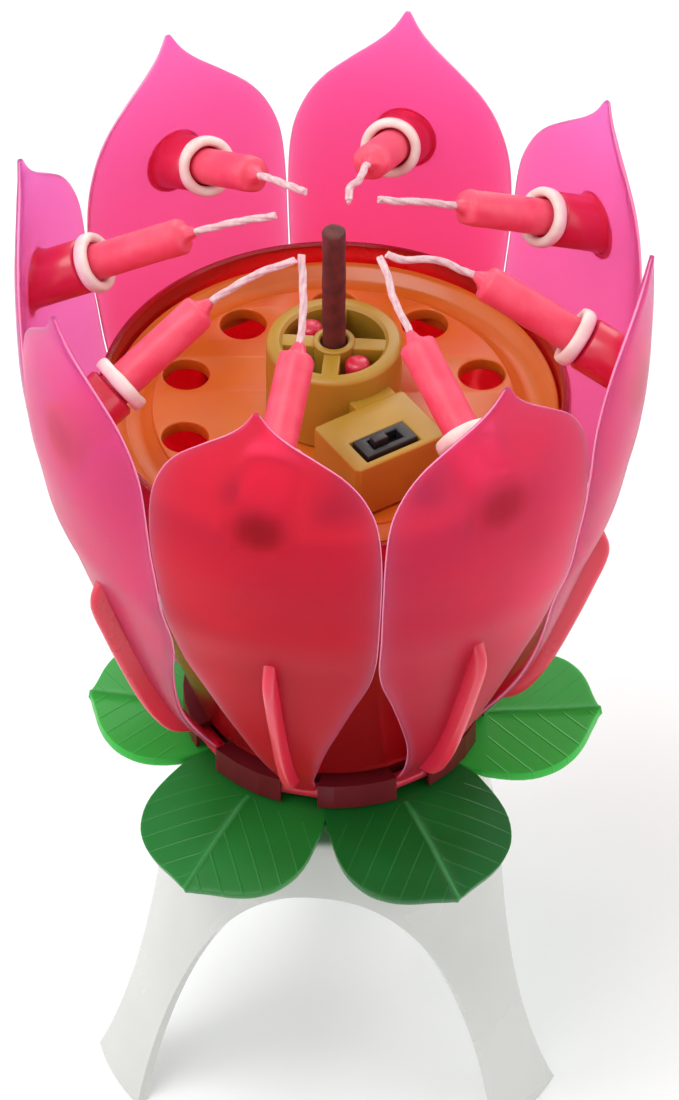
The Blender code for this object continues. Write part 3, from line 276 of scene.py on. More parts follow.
stand = put_together("stand_shell", stand_shape, white_plastic, "stand", ["stand_tripod"])


def round_edges(piece, name, width, segments):
    """Rounds the sharp edges of a piece."""
    rounded = piece.modifiers.new(name, "BEVEL")
    rounded.width = width
    rounded.segments = segments
    rounded.angle_limit = radians(50)


round_edges(stand, "rounded_edges", stand_edge_round, 3)


# Turning gear
# A milky nylon thrust washer and a fixed gear on the stand's post, held down by a steel screw. They
# stay hidden between the stand and the bowl.
nylon = plastic("milky_nylon", (0.80, 0.80, 0.75), (0.72, 0.72, 0.67), 0.45, 90, 0.05, 0.1)


def metal(name, colour, roughness, streak=400.0):
    """Bright metal with fine rubbed streaks."""
    material, tree, shader = finish_base(name)
    where = {"Vector": add_step(tree, "TexCoord").outputs["Object"]}
    rubbing = add_step(tree, "TexNoise", {"Scale": streak}, where).outputs["Fac"]
    tones = add_step(tree, "ValToRGB", fed={"Fac": rubbing})
    tones.color_ramp.elements[0].color = (*[tone * 0.8 for tone in colour], 1)
    tones.color_ramp.elements[1].color = (*colour, 1)
    shine = add_step(tree, "MapRange", {"To Min": roughness * 0.7, "To Max": roughness * 1.3}, {"Value": rubbing})
    feed(tree, shader, {"Metallic": 1.0},
         {"Base Color": tones.outputs["Color"], "Roughness": shine.outputs["Result"]})
    return material


def dress(material, *names):
    """Gives solids that keep their own shape their finish."""
    for name in names:
        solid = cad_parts[name]
        if not solid.material_slots:
            solid.data.materials.append(material)
        for held in solid.material_slots:
            held.material = material


bright_steel = metal("bright_steel", (0.66, 0.66, 0.67), 0.28)
dress(nylon, "thrust_washer", "fixed_gear")
dress(bright_steel, "centre_screw")


# Leaves
# One moulding of green plastic, a flat ring with six leaves, each with a raised middle vein and fine
# side veins. Two of them stand up at the sides, and the side and rear leaves are painted a lighter green
# as painted light. It is clamped under the hinge ring and turns with it.
leaf_base_radius = 0.0196
leaf_tip_radius = 0.0360
leaf_notch_radius = 0.0214
leaf_top = 0.0552
leaf_droop = 0.0046
leaf_edge_droop = 0.0009
leaf_thickness = 0.0013
leaf_rim_round = 0.00035
leaf_bore = 0.0036
first_leaf = 27.0
leaf_steps = 48
leaf_edge_shares = [
    (0.00, 1.00), (0.06, 0.96), (0.17, 0.92), (0.34, 0.88), (0.50, 0.82), (0.67, 0.70), (0.84, 0.46),
    (1.00, 0.00)]
leaf_droop_shares = (1.0, -0.35, 0.5, 0.5, -0.35, 1.0)
leaf_length_shares = (1.0, 0.945, 0.9, 0.9, 0.75, 1.0)
# Share of painted light per leaf: lighter green where the leaf catches more light, darkest on the front ones in shade.
leaf_painted_light_shares = (0.0, 1.0, 0.60, 0.60, 0.90, 0.14)
vein_height = 0.00035
vein_half_width = 0.00045
vein_spacing = 0.0034


def between(table, place):
    """Smooth value of a table of (place, value) pairs."""
    for index in range(len(table) - 1):
        (start, first), (end, second) = table[index], table[index + 1]
        if place <= end or index == len(table) - 2:
            before = table[max(index - 1, 0)]
            after = table[min(index + 2, len(table) - 1)]
            part = (place - start) / (end - start)
            slope_in = (second - before[1]) / max(end - before[0], 1e-9) * (end - start)
            slope_out = (after[1] - first) / max(after[0] - start, 1e-9) * (end - start)
            cubed, squared = part ** 3, part ** 2
            return ((2 * cubed - 3 * squared + 1) * first + (cubed - 2 * squared + part) * slope_in
                    + (3 * squared - 2 * cubed) * second + (cubed - squared) * slope_out)
    return table[-1][1]


def marks_of(tree, *names):
    """What a finish reads from the marks on a piece's points."""
    return {name: add_step(tree, "Attribute", attribute_name=name).outputs["Fac"] for name in names}


def mark_points(piece, marks):
    """Writes marks on a piece's points for its finish to read."""
    for name, values in marks.items():
        piece.data.attributes.new(name, "FLOAT", "POINT").data.foreach_set("value", values)


def worked_out(tree, operation, *terms):
    """One step of arithmetic in a finish."""
    step = add_step(tree, "Math", operation=operation)
    for socket, term in zip(step.inputs, terms):
        if isinstance(term, (int, float)):
            socket.default_value = term
        else:
            tree.links.new(term, socket)
    return step.outputs[0]


def blend_in(tree, under, colour, amount):
    """Mixes a colour into the tone under it."""
    return add_step(tree, "Mix", data_type="RGBA", fixed={"B": (*colour, 1)},
                    fed={"A": under, "Factor": amount}).outputs["Result"]


leaf_green = plastic("leaf_green", (0.007, 0.165, 0.024), (0.005, 0.120, 0.016), 0.33, 70, 0.06, 0.25, 0.0, 0.15,
                     0.18)
leaf_tree = leaf_green.node_tree
leaf_shader = leaf_tree.nodes["Principled BSDF"]


def vein_line(distance, width):
    """One on a vein, fading smoothly to nothing at a width from it."""
    return add_step(leaf_tree, "MapRange", {"From Min": 0.0, "From Max": width, "To Min": 1.0, "To Max": 0.0},
                    {"Value": distance}, interpolation_type="SMOOTHSTEP").outputs["Result"]


leaf_marks = marks_of(leaf_tree, "along", "aside", "tone")
from_middle = worked_out(leaf_tree, "ABSOLUTE", leaf_marks["aside"], 0)
branch = worked_out(leaf_tree, "SUBTRACT", leaf_marks["along"], worked_out(leaf_tree, "MULTIPLY", from_middle, 0.9))
to_branch = worked_out(leaf_tree, "PINGPONG", branch, 0.5)
on_leaf = worked_out(leaf_tree, "GREATER_THAN", leaf_marks["along"], 0.25)
side_veins = worked_out(leaf_tree, "MULTIPLY", vein_line(to_branch, 0.085), 0.20)
side_veins = worked_out(leaf_tree, "MULTIPLY", side_veins, on_leaf)
veins = worked_out(leaf_tree, "MAXIMUM", vein_line(from_middle, 0.15), side_veins)
veins = worked_out(leaf_tree, "MULTIPLY", veins, on_leaf)
leaf_skin = leaf_shader.inputs["Normal"].links[0].from_socket
vein_relief = add_step(leaf_tree, "Bump", {"Strength": 0.55, "Distance": 0.0004},
                       {"Height": veins, "Normal": leaf_skin})
leaf_clouds = leaf_shader.inputs["Base Color"].links[0].from_socket
# Painted light: each leaf mixed towards a light green by its share.
leaf_with_painted_light = blend_in(leaf_tree, leaf_clouds, (0.045, 0.52, 0.065), leaf_marks["tone"])
veined = blend_in(leaf_tree, leaf_with_painted_light, (0.060, 0.38, 0.090), worked_out(leaf_tree, "MULTIPLY", veins, 0.6))
feed(leaf_tree, leaf_shader, {"Subsurface Radius": (0.3, 1.0, 0.3)},
     {"Normal": vein_relief.outputs["Normal"], "Base Color": veined})

leaf_shape = bmesh.new()
leaf_rings = [0.04 * ring for ring in range(26)]
flat_rings = [leaf_bore, leaf_bore + 0.004, leaf_base_radius - 0.006, leaf_base_radius - 0.002]
leaf_points = {"along": [], "aside": [], "tone": []}
leaf_lines = []
for turn in range(6 * leaf_steps):
    bearing = 360 * turn / (6 * leaf_steps)
    off_middle = (bearing + 30) % 60 - 30
    leaf = int((bearing + 30) // 60) % 6
    length_share = between(leaf_edge_shares, abs(off_middle) / 30) * leaf_length_shares[leaf]
    edge = leaf_notch_radius + (leaf_tip_radius - leaf_notch_radius) * length_share
    line = [(radius, 0.0) for radius in flat_rings]
    for share in leaf_rings:
        radius = leaf_base_radius + share * (edge - leaf_base_radius)
        reach = max(0.0, (radius - leaf_base_radius) / (leaf_tip_radius - leaf_base_radius))
        aside = radius * sin(radians(off_middle))
        drop = (leaf_droop * leaf_droop_shares[leaf] * reach ** 1.5
                + leaf_edge_droop * reach * (abs(off_middle) / 30) ** 2)
        middle_vein = exp(-(aside / vein_half_width) ** 2) * min(1, reach * 6)
        line.append((radius, vein_height * middle_vein - drop))
    for radius, height in line:
        leaf_points["along"].append((radius * cos(radians(off_middle)) - leaf_base_radius) / vein_spacing)
        leaf_points["aside"].append(radius * sin(radians(off_middle)) / vein_spacing)
        # Painted light share of this leaf.
        leaf_points["tone"].append(leaf_painted_light_shares[leaf])
    leaf_lines.append([leaf_shape.verts.new(outward(first_leaf + bearing) * radius + Vector((0, 0, leaf_top + height)))
                       for radius, height in line])
skin(leaf_shape, leaf_lines + leaf_lines[:1], closed=False)
leaves = put_together("leaf_moulding", leaf_shape, leaf_green, "flower", ["calyx_leaves"])
if leaves.data.polygons[0].normal.z < 0:
    leaves.data.flip_normals()
mark_points(leaves, leaf_points)
leaf_body = leaves.modifiers.new("thickness", "SOLIDIFY")
leaf_body.thickness = leaf_thickness
leaf_body.offset = -1
round_edges(leaves, "rounded_rim", leaf_rim_round, 2)


# Hinge ring
# Red plastic ring under the bowl, its red darkened with painted shade for the shadow under the bowl. Eight
# slots hold the feet of the petals, and blind bores across each slot hold the ends of the petals' pins,
# which snap in from below.
ring_red_and_painted_shade = plastic("ring_red_and_painted_shade", (0.16, 0.011, 0.018), (0.12, 0.008, 0.013), 0.34, 80, 0.02, 0.2, gloss=0.25)
dress(ring_red_and_painted_shade, "hinge_ring")


# Petals
# Eight thin petals of translucent pink plastic with pale edges. The front pair are painted redder as painted
# shade and the side ones paler as painted light; all are darker towards the foot, partly their own colour
# and partly painted shade from the bowl behind, with a spot of painted shade over each cup. Each has a
# red fin on its back, a cup for its candle and a pin that snaps into the ring.
hinge_radius = 0.018
hinge_height = 0.057
first_petal = -13.5
petal_reach = 0.0229
petal_rise = 0.0834
petal_half_width = 0.0147
petal_tip_half_width = 0.0003
petal_thickness = 0.0012
petal_cross_radius = 0.038
petal_rows, petal_columns = 72, 24
pin_radius = 0.0010
pin_length = 0.0086
pin_round = 0.0002
petal_line_shares = [
    (0.000, 0.000), (0.157, 0.063), (0.306, 0.131), (0.415, 0.196), (0.520, 0.272), (0.624, 0.355),
    (0.712, 0.428), (0.777, 0.473), (0.825, 0.515), (0.873, 0.582), (0.917, 0.642), (0.948, 0.721),
    (0.961, 0.836), (0.965, 0.921), (1.000, 1.000)]
petal_width_shares = [
    (0.000, 0.145), (0.050, 0.150), (0.130, 0.255), (0.200, 0.365), (0.270, 0.510), (0.340, 0.665),
    (0.410, 0.828), (0.490, 0.926), (0.590, 0.982), (0.700, 1.019), (0.785, 0.988), (0.840, 0.882),
    (0.880, 0.725), (0.915, 0.490), (0.945, 0.270), (0.970, 0.130), (1.000, 0.025)]
fin_shares = [(0.070, 0.05), (0.100, 0.75), (0.160, 0.98), (0.260, 1.00), (0.360, 1.02), (0.420, 1.00), (0.445, 0.70),
              (0.465, 0.05)]
fin_steps = 40
fin_height = 0.0024
fin_thickness = 0.0015
fin_root = 0.0002
cup_height = 0.0635
cup_tilt = 30.0
cup_length = 0.0086
cup_bore = 0.00265
cup_radius = 0.00355
cup_lip = 0.0004
cup_steps = 40
# Size of the painted shade spot over each cup, where the cup would block light coming through the petal.
cup_painted_shade_radius = 0.0037
# Petal colour from foot to tip: darker towards the foot, partly the plastic's own colour and partly painted shade from
# the bowl behind.
petal_tones_and_painted_shade = ((0.02, (0.84, 0.040, 0.075)), (0.30, (0.90, 0.045, 0.100)), (0.44, (0.94, 0.055, 0.140)),
               (0.66, (0.97, 0.085, 0.270)), (0.84, (0.98, 0.120, 0.400)), (1.0, (0.97, 0.20, 0.55)))
# Share of painted shade per petal: the front pair are painted a deeper red for the shade they hang in before the dark
# bowl.
petal_painted_redness_shade = [0.66, 0.40, 0.0, 0.0, 0.0, 0.0, 0.0, 0.0]
# Share of painted light per petal: the side petals are painted paler and more lilac for the light that comes through
# them.
petal_painted_light_paleness = [0.0, 0.04, 0.06, 0.28, 0.0, 0.08, 0.45, 0.12]

petal_line = []
padded = [petal_line_shares[0]] + petal_line_shares + [petal_line_shares[-1]]
for a, b, c, d in zip(padded, padded[1:], padded[2:], padded[3:]):
    for step in range(6):
        t = step / 6
        weights = (-t + 2 * t ** 2 - t ** 3, 2 - 5 * t ** 2 + 3 * t ** 3, t + 4 * t ** 2 - 3 * t ** 3, t ** 3 - t ** 2)
        out, up = (sum(weight * point[i] for weight, point in zip(weights, (a, b, c, d))) / 2 for i in range(2))
        petal_line.append((petal_reach * out, petal_rise * up))
petal_line.append((petal_reach, petal_rise))
line_lengths = [0]
for start, end in zip(petal_line, petal_line[1:]):
    line_lengths.append(line_lengths[-1] + dist(start, end))


def on_petal(share):
    """Point on the petal's middle line at a share of its length, and the way out from it."""
    wanted = min(max(share, 0), 1) * line_lengths[-1]
    index = max(i for i in range(len(petal_line) - 1) if line_lengths[i] <= wanted + 1e-12)
    part = (wanted - line_lengths[index]) / (line_lengths[index + 1] - line_lengths[index])
    start, end = Vector(petal_line[index]), Vector(petal_line[index + 1])
    low = Vector(petal_line[max(index - 3, 0)])
    high = Vector(petal_line[min(index + 4, len(petal_line) - 1)])
    run = (high - low).normalized()
    return start.lerp(end, part), Vector((run.y, -run.x))


def half_width(share):
    """Half the petal's width at a share of its length."""
    return max(petal_tip_half_width, petal_half_width * between(petal_width_shares, share))


def petal_place(number):
    """Where the foot of a petal stands, turned to its own bearing."""
    bearing = first_petal + 45 * (number - 1)
    return (Matrix.Translation(outward(bearing) * hinge_radius + Vector((0, 0, hinge_height)))
            @ Matrix.Rotation(radians(bearing - 90), 4, "Z"))


cup_foot = next(out for out, up in petal_line if up >= cup_height)
cup_place = (Matrix.Translation((cup_foot, 0, cup_height))
             @ Matrix.Rotation(radians(cup_tilt - 90), 4, "Y"))

petal_pink = plastic("petal_pink", (0.90, 0.06, 0.26), (0.86, 0.04, 0.22), 0.30, 45, 0.02, 0.95, 0.0, 0.76, 0.3)
petal_rim = plastic("petal_rim", (0.98, 0.30, 0.50), (0.96, 0.24, 0.43), 0.30, 45, 0.02, 0.50)
cup_red = plastic("cup_red", (0.85, 0.025, 0.085), (0.76, 0.016, 0.060), 0.28, 80, 0.03, 0.45, 0.2, 0.2)
petal_tree = petal_pink.node_tree
petal_shader = petal_tree.nodes["Principled BSDF"]
petal_marks = marks_of(petal_tree, "along", "painted_red_shade", "painted_pale_light", "edge", "cup")
# Colour by height on the petal, with the painted shade towards the foot.
length_tones_and_painted_shade = add_step(petal_tree, "ValToRGB", fed={"Fac": petal_marks["along"]})
stops = length_tones_and_painted_shade.color_ramp.elements
stops[0].position, stops[1].position = petal_tones_and_painted_shade[0][0], petal_tones_and_painted_shade[-1][0]
stops[0].color, stops[1].color = (*petal_tones_and_painted_shade[0][1], 1), (*petal_tones_and_painted_shade[-1][1], 1)
for place, tone in petal_tones_and_painted_shade[1:-1]:
    stops.new(place).color = (*tone, 1)
petal_clouds = petal_shader.inputs["Base Color"].links[0].from_socket
petal_tone = add_step(petal_tree, "Mix", data_type="RGBA", fixed={"Factor": 0.18},
                      fed={"A": length_tones_and_painted_shade.outputs["Color"], "B": petal_clouds}).outputs["Result"]
# Painted shade: the front petals' deeper red, by their share above.
petal_tone = blend_in(petal_tree, petal_tone, (0.98, 0.022, 0.045), petal_marks["painted_red_shade"])
# Painted light: the side petals' paler lilac, by their share above.
petal_tone = blend_in(petal_tree, petal_tone, (0.97, 0.36, 0.92), petal_marks["painted_pale_light"])
petal_tone = blend_in(petal_tree, petal_tone, (0.98, 0.26, 0.46), petal_marks["edge"])
# Painted shade: a dark spot on the petal over its cup, deeper on the front petals.
cup_painted_shade = worked_out(petal_tree, "MULTIPLY_ADD", petal_marks["painted_red_shade"], 0.9, 0.30)
cup_painted_shade = worked_out(petal_tree, "MULTIPLY", cup_painted_shade, petal_marks["cup"])
petal_tone = blend_in(petal_tree, petal_tone, (0.36, 0.006, 0.018), cup_painted_shade)
feed(petal_tree, petal_shader,
     {"IOR": 1.15, "Subsurface Radius": (1.0, 0.30, 0.50), "Subsurface Scale": 0.004},
     {"Base Color": petal_tone})

petal_shape = bmesh.new()
rows_in, rows_out = [], []
for row in range(petal_rows + 1):
    share = 1 - (1 - row / petal_rows) ** 1.15
    point, away = on_petal(share)
    half = half_width(share)
    row_in, row_out = [], []
    for column in range(petal_columns + 1):
        across = sin(pi / 2 * (2 * column / petal_columns - 1))
        side = across * half
        lift = side ** 2 / (2 * petal_cross_radius)
        lean = Vector((1, side / petal_cross_radius, 0)).normalized()
        normal = Vector((away.x * lean.x, lean.y, away.y * lean.x)).normalized()
        thin = sqrt(max(0, 1 - abs(across) ** 6)) * petal_thickness / 2 * min(1, 0.45 + half / 0.006)
        middle = Vector((point.x - lift, side, point.y))
        row_out.append(petal_shape.verts.new(middle + normal * thin))
        inside = 0 < column < petal_columns
        row_in.append(petal_shape.verts.new(middle - normal * thin) if inside else row_out[-1])
    rows_out.append(row_out)
    rows_in.append(row_in)
skin(petal_shape, rows_out, closed=False)
for low, high in zip(rows_in, rows_in[1:]):
    for column in range(petal_columns):
        petal_shape.faces.new((low[column], high[column], high[column + 1], low[column + 1]))
for inner, outer in ((rows_in[0], rows_out[0]), (rows_in[-1], rows_out[-1])):
    for column in range(petal_columns):
        corners = list(dict.fromkeys([outer[column], outer[column + 1], inner[column + 1], inner[column]]))
        if len(corners) > 2:
            petal_shape.faces.new(corners)
close_up(petal_shape)
petal_shape.verts.index_update()
petal_shape.faces.index_update()
rim_verts = {vert.index for row in rows_out for vert in (row[0], row[-1])}
rim_faces = {face.index for face in petal_shape.faces if any(vert.index in rim_verts for vert in face.verts)}
petal_points = {"along": [], "edge": [], "cup": []}
for vert in petal_shape.verts:
    share = vert.co.z / petal_rise
    near_edge = min(1, abs(vert.co.y) / half_width(min(1, max(0, share))))
    from_cup = hypot(vert.co.y, vert.co.z - cup_place.translation.z)
    petal_points["along"].append(share)
    petal_points["edge"].append(min(1, near_edge ** 10 * (0.10 + 0.50 * share) + 0.25 * near_edge ** 24))
    # Painted shade mark: strongest over the cup, fading round it.
    petal_points["cup"].append(0.95 * exp(-(from_cup / cup_painted_shade_radius) ** 4))

cup_shape = bmesh.new()
cup_slope = tan(radians(cup_tilt))
cup_floor = petal_thickness + cup_radius * cup_slope
cup_profile = [(cup_radius + 0.0007, 0.0002), (cup_radius + 0.0002, 0.0010), (cup_radius, 0.0020),
               (cup_radius, cup_length - cup_lip), (cup_radius - cup_lip, cup_length), (cup_bore + 0.0003, cup_length),
               (cup_bore, cup_length - cup_lip), (cup_bore, cup_floor), (0.0, cup_floor)]
cup_rings = []
for radius, height in cup_profile:
    low = height < cup_length / 2 and radius >= cup_radius
    ring = []
    for step in range(cup_steps):
        angle = 2 * pi * step / cup_steps
        sink = radius * cos(angle) * cup_slope if low else 0
        ring.append(cup_shape.verts.new((radius * cos(angle), radius * sin(angle), height + sink)))
    cup_rings.append(ring)
skin(cup_shape, cup_rings)
cup_shape.faces.new(cup_rings[0][::-1])
close_up(cup_shape, 0.000005)
cup_shape.transform(cup_place)

fin_shape = bmesh.new()
fin_lines = []
for step in range(fin_steps + 1):
    share = fin_shares[0][0] + (fin_shares[-1][0] - fin_shares[0][0]) * step / fin_steps
    point, away = on_petal(share)
    proud = petal_thickness / 2 + fin_height * max(0, between(fin_shares, share))
    half = fin_thickness / 2
    upward = [(fin_root, half), (proud - half * 0.9, half), (proud - half * 0.3, half * 0.75), (proud, half * 0.3)]
    line = []
    for depth, aside in upward + [(depth, -aside) for depth, aside in upward[::-1]]:
        depth = max(depth, fin_root)
        line.append(fin_shape.verts.new((point.x + away.x * depth, aside, point.y + away.y * depth)))
    fin_lines.append(line)
skin(fin_shape, fin_lines)
fin_shape.faces.new(fin_lines[0][::-1])
fin_shape.faces.new(fin_lines[-1])
close_up(fin_shape)

pin_shape = bmesh.new()
bmesh.ops.create_cone(pin_shape, cap_ends=True, segments=24, radius1=pin_radius, radius2=pin_radius, depth=pin_length,
                      matrix=Matrix.Rotation(pi / 2, 4, "X"))
bmesh.ops.bevel(pin_shape, geom=[edge for edge in pin_shape.edges if edge.calc_face_angle(0) > 1], offset=pin_round,
                segments=2, affect="EDGES")

for number in range(1, 9):
    for kind, shape, finish in (("blade", petal_shape, petal_pink), ("fin", fin_shape, cup_red),
                                ("cup", cup_shape, cup_red), ("pin", pin_shape, cup_red)):
        moved = shape.copy()
        moved.transform(petal_place(number))
        stands_for = [f"petal_{number}"] if kind == "blade" else ()
        piece = put_together(f"petal_{kind}_{number}", moved, finish, f"petal_{number}", stands_for,
                             flat_above=60)
        if kind == "blade":
            count = len(piece.data.vertices)
            mark_points(piece, {**petal_points, "painted_red_shade": [petal_painted_redness_shade[number - 1]] * count,
                                "painted_pale_light": [petal_painted_light_paleness[number - 1]] * count})
            piece.data.materials.append(petal_rim)
            for face in piece.data.polygons:
                face.material_index = 1 if face.index in rim_faces else 0


# Candles, collars and wicks
# Eight small candles of pink wax stand in the petals' cups, each with a soft white collar at its
# mouth. The wicks are waxed cotton, loosely twisted, and each has dried with a bend of its own.
candle_radius = 0.00235
candle_proud = 0.0138
candle_foot = cup_floor + 0.0003
candle_sides = 28
wax_shoulder = 0.0040
wax_lumps = 0.00028
wax_waves = 0.00003
collar_gap = 0.0003
collar_half_width = 0.00065
collar_half_height = 0.0009
collar_height = cup_length + collar_gap + collar_half_height
collar_sides, collar_turns = 14, 48
candle_top = collar_height + candle_proud
wick_length = 0.0127
wick_start = 0.0006
wick_steps = 30
strand_radius = 0.00036
strand_spread = 0.00016
wick_bends = [(0.0013, -0.0020), (-0.0025, 0.0023), (-0.0015, -0.0038), (-0.0015, 0.0017),
              (-0.0030, -0.0001), (-0.0014, -0.0004), (-0.0015, -0.0005), (0.0022, 0.0063)]

pink_wax = plastic("pink_wax", (0.88, 0.100, 0.175), (0.82, 0.062, 0.130), 0.42, 320, 0.12, 0.6)
pink_wax.node_tree.nodes["Principled BSDF"].inputs["Subsurface Radius"].default_value = (1.0, 0.35, 0.30)
milky_collar = plastic("milky_collar", (0.90, 0.83, 0.76), (0.84, 0.70, 0.63), 0.40, 500, 0.10, 0.35)

wick_cotton = plastic("wick_cotton", (0.88, 0.62, 0.63), (0.80, 0.42, 0.46), 0.75, 900, 0.3, 0.2)
wick_tree = wick_cotton.node_tree
fibres = add_step(wick_tree, "TexWave", {"Scale": 900, "Distortion": 6},
                  {"Vector": add_step(wick_tree, "TexCoord").outputs["Object"]})
fibre_relief = add_step(wick_tree, "Bump", {"Strength": 0.35, "Distance": 0.0001}, {"Height": fibres.outputs["Fac"]})
feed(wick_tree, wick_tree.nodes["Principled BSDF"], fed={"Normal": fibre_relief.outputs["Normal"]})


def tube(shape, points, radii, sides=8):
    """Adds a closed round tube through points, with a radius at each."""
    rings = []
    side = None
    for index, (point, radius) in enumerate(zip(points, radii)):
        ahead = (points[min(index + 1, len(points) - 1)] - points[max(index - 1, 0)]).normalized()
        if side is None:
            side = ahead.orthogonal().normalized()
        side = (side - ahead * side.dot(ahead)).normalized()
        other = ahead.cross(side)
        rings.append([shape.verts.new(point + (side * cos(2 * pi * step / sides)
                                               + other * sin(2 * pi * step / sides)) * radius)
                      for step in range(sides)])
    skin(shape, rings)
    shape.faces.new(rings[0][::-1])
    shape.faces.new(rings[-1])


for number in range(1, 9):
    place = petal_place(number) @ cup_place
    chance = random.Random(number)
    body = f"petal_{number}"

    wax_shape = bmesh.new()
    wax_side = candle_top - 0.0007 - candle_foot
    soft_end = [(0.0, candle_foot), (candle_radius - 0.0002, candle_foot), (candle_radius, candle_foot + 0.0003)]
    soft_end += [(candle_radius, candle_foot + wax_side * step / 14) for step in range(1, 15)]
    soft_end += [(candle_radius - 0.0001, candle_top - 0.0004), (candle_radius - 0.0004, candle_top - 0.0001),
                 (candle_radius - 0.0009, candle_top), (0.0012, candle_top + 0.0002), (0.0009, candle_top + 0.0006),
                 (0.0007, candle_top + 0.0012), (0.0005, candle_top + 0.0016), (0.0, candle_top + 0.0017)]
    wax_rings = []
    lump = Vector((chance.uniform(0, 50), chance.uniform(0, 50), chance.uniform(0, 50)))
    for radius, height in soft_end:
        ring = []
        for step in range(candle_sides):
            angle = 2 * pi * step / candle_sides
            spot = Vector((cos(angle), sin(angle), height / 0.0024))
            near_top = max(0, min(1, (height - candle_top + wax_shoulder) / wax_shoulder))
            grown = radius
            if radius > 0:
                grown += (wax_waves + wax_lumps * near_top) * noise.noise(spot * 1.7 + lump) * min(1, radius / 0.001)
            ring.append(wax_shape.verts.new((grown * cos(angle), grown * sin(angle), height)))
        wax_rings.append(ring)
    skin(wax_shape, wax_rings)
    close_up(wax_shape, 0.000005)
    wax_shape.transform(place)
    put_together(f"candle_wax_{number}", wax_shape, pink_wax, body, [f"candle_{number}"], flat_above=70)

    collar_shape = bmesh.new()
    lump = Vector((chance.uniform(0, 50), chance.uniform(0, 50), 0))
    collar_rings = []
    for step in range(collar_turns):
        angle = 2 * pi * step / collar_turns
        fat = 1.0 + 0.12 * noise.noise(Vector((cos(angle), sin(angle), 0)) * 1.6 + lump)
        ring = []
        for part in range(collar_sides):
            around = 2 * pi * part / collar_sides
            square = 1 / (abs(cos(around)) ** 3 + abs(sin(around)) ** 3) ** (1 / 3)
            radius = (candle_radius + collar_gap + collar_half_width
                      + collar_half_width * fat * square * cos(around))
            ring.append(collar_shape.verts.new((radius * cos(angle), radius * sin(angle),
                                                collar_height + collar_half_height * fat * square * sin(around))))
        collar_rings.append(ring)
    for one, other in zip(collar_rings, collar_rings[1:] + collar_rings[:1]):
        for part in range(collar_sides):
            ahead = (part + 1) % collar_sides
            collar_shape.faces.new((one[part], other[part], other[ahead], one[ahead]))
    close_up(collar_shape)
    collar_shape.transform(place)
    put_together(f"collar_ring_{number}", collar_shape, milky_collar, body, [f"collar_{number}"],
                 flat_above=80)

    wick_shape = bmesh.new()
    bend_x, bend_y = wick_bends[number - 1]
    curl = chance.uniform(-0.0005, 0.0005)
    spine = []
    for step in range(wick_steps + 1):
        share = step / wick_steps
        spine.append(Vector((bend_x * share ** 1.7 + curl * sin(3 * pi * share) * share,
                             bend_y * share ** 1.7 + curl * cos(2.6 * pi * share) * share,
                             candle_top + wick_start + (wick_length - wick_start) * share)))
    for strand in range(3):
        points, radii = [], []
        for step, middle in enumerate(spine):
            share = step / wick_steps
            around = 2 * pi * (strand / 3 + 1.2 * share)
            spread = strand_spread * (1 + 0.9 * max(0, share - 0.8) / 0.2 * chance.uniform(0.5, 1.0))
            points.append(middle + Vector((cos(around), sin(around), 0)) * spread)
            radii.append(strand_radius * (1 - 0.30 * max(0, share - 0.85) / 0.15) * chance.uniform(0.94, 1.06))
        tube(wick_shape, points, radii)
    close_up(wick_shape)
    wick_shape.transform(place)
    put_together(f"wick_thread_{number}", wick_shape, wick_cotton, body, [f"wick_{number}"],
                 flat_above=80)


# Bowl
# Red plastic bowl, clear enough to let light in: a cone that opens to a short drum with a rolled rim.
# Its floor holds the motor and the cells, and it sits on the hinge ring.
bowl_bottom = 0.0596
bowl_floor_top = 0.0610
bowl_top = 0.1101
bowl_bore_radius = 0.0032
bowl_foot_radius = 0.0179
bowl_radius = 0.0304
bowl_wall = 0.0012
bowl_inner = bowl_radius - bowl_wall
cone_top = bowl_bottom + 0.0331
ledge_radius = 0.0276
ledge_top = 0.1042

clear_red = plastic("clear_red", (0.88, 0.030, 0.036), (0.80, 0.022, 0.028), 0.16, 80, 0.02, 0.40, 0.0, 0.78, 0.2)


def lathe(profile, steps=128):
    """A turned surface from a profile of (radius, height); its ends close on the axis or on each other."""
    shape = bmesh.new()
    rings = []
    for radius, height in profile:
        rings.append([shape.verts.new((radius * cos(2 * pi * step / steps),
                                       radius * sin(2 * pi * step / steps), height))
                      for step in range(steps)])
    if profile[0][0] > 0:
        rings.append(rings[0])
    skin(shape, rings)
    close_up(shape, 0.000002)
    return shape


bowl_shape = lathe([
    (bowl_bore_radius, bowl_floor_top), (bowl_foot_radius - bowl_wall, bowl_floor_top),
    (ledge_radius - 0.0010, cone_top), (ledge_radius - 0.0003, cone_top + 0.0004), (ledge_radius, cone_top + 0.0012),
    (ledge_radius, ledge_top), (bowl_inner, ledge_top), (bowl_inner, bowl_top - 0.0006),
    (bowl_radius - bowl_wall * 0.85, bowl_top - 0.00015), (bowl_radius - bowl_wall / 2, bowl_top),
    (bowl_radius - bowl_wall * 0.15, bowl_top - 0.00015), (bowl_radius, bowl_top - 0.0006),
    (bowl_radius, cone_top + 0.0016), (bowl_radius - 0.0001, cone_top + 0.0010),
    (bowl_radius - 0.0004, cone_top + 0.0004), (bowl_radius - 0.0010, cone_top - 0.0002),
    (bowl_foot_radius + 0.0003, bowl_bottom + 0.0007), (bowl_foot_radius - 0.0003, bowl_bottom),
    (bowl_bore_radius, bowl_bottom)])
put_together("bowl_shell", bowl_shape, clear_red, "flower", ["bowl"], flat_above=30)


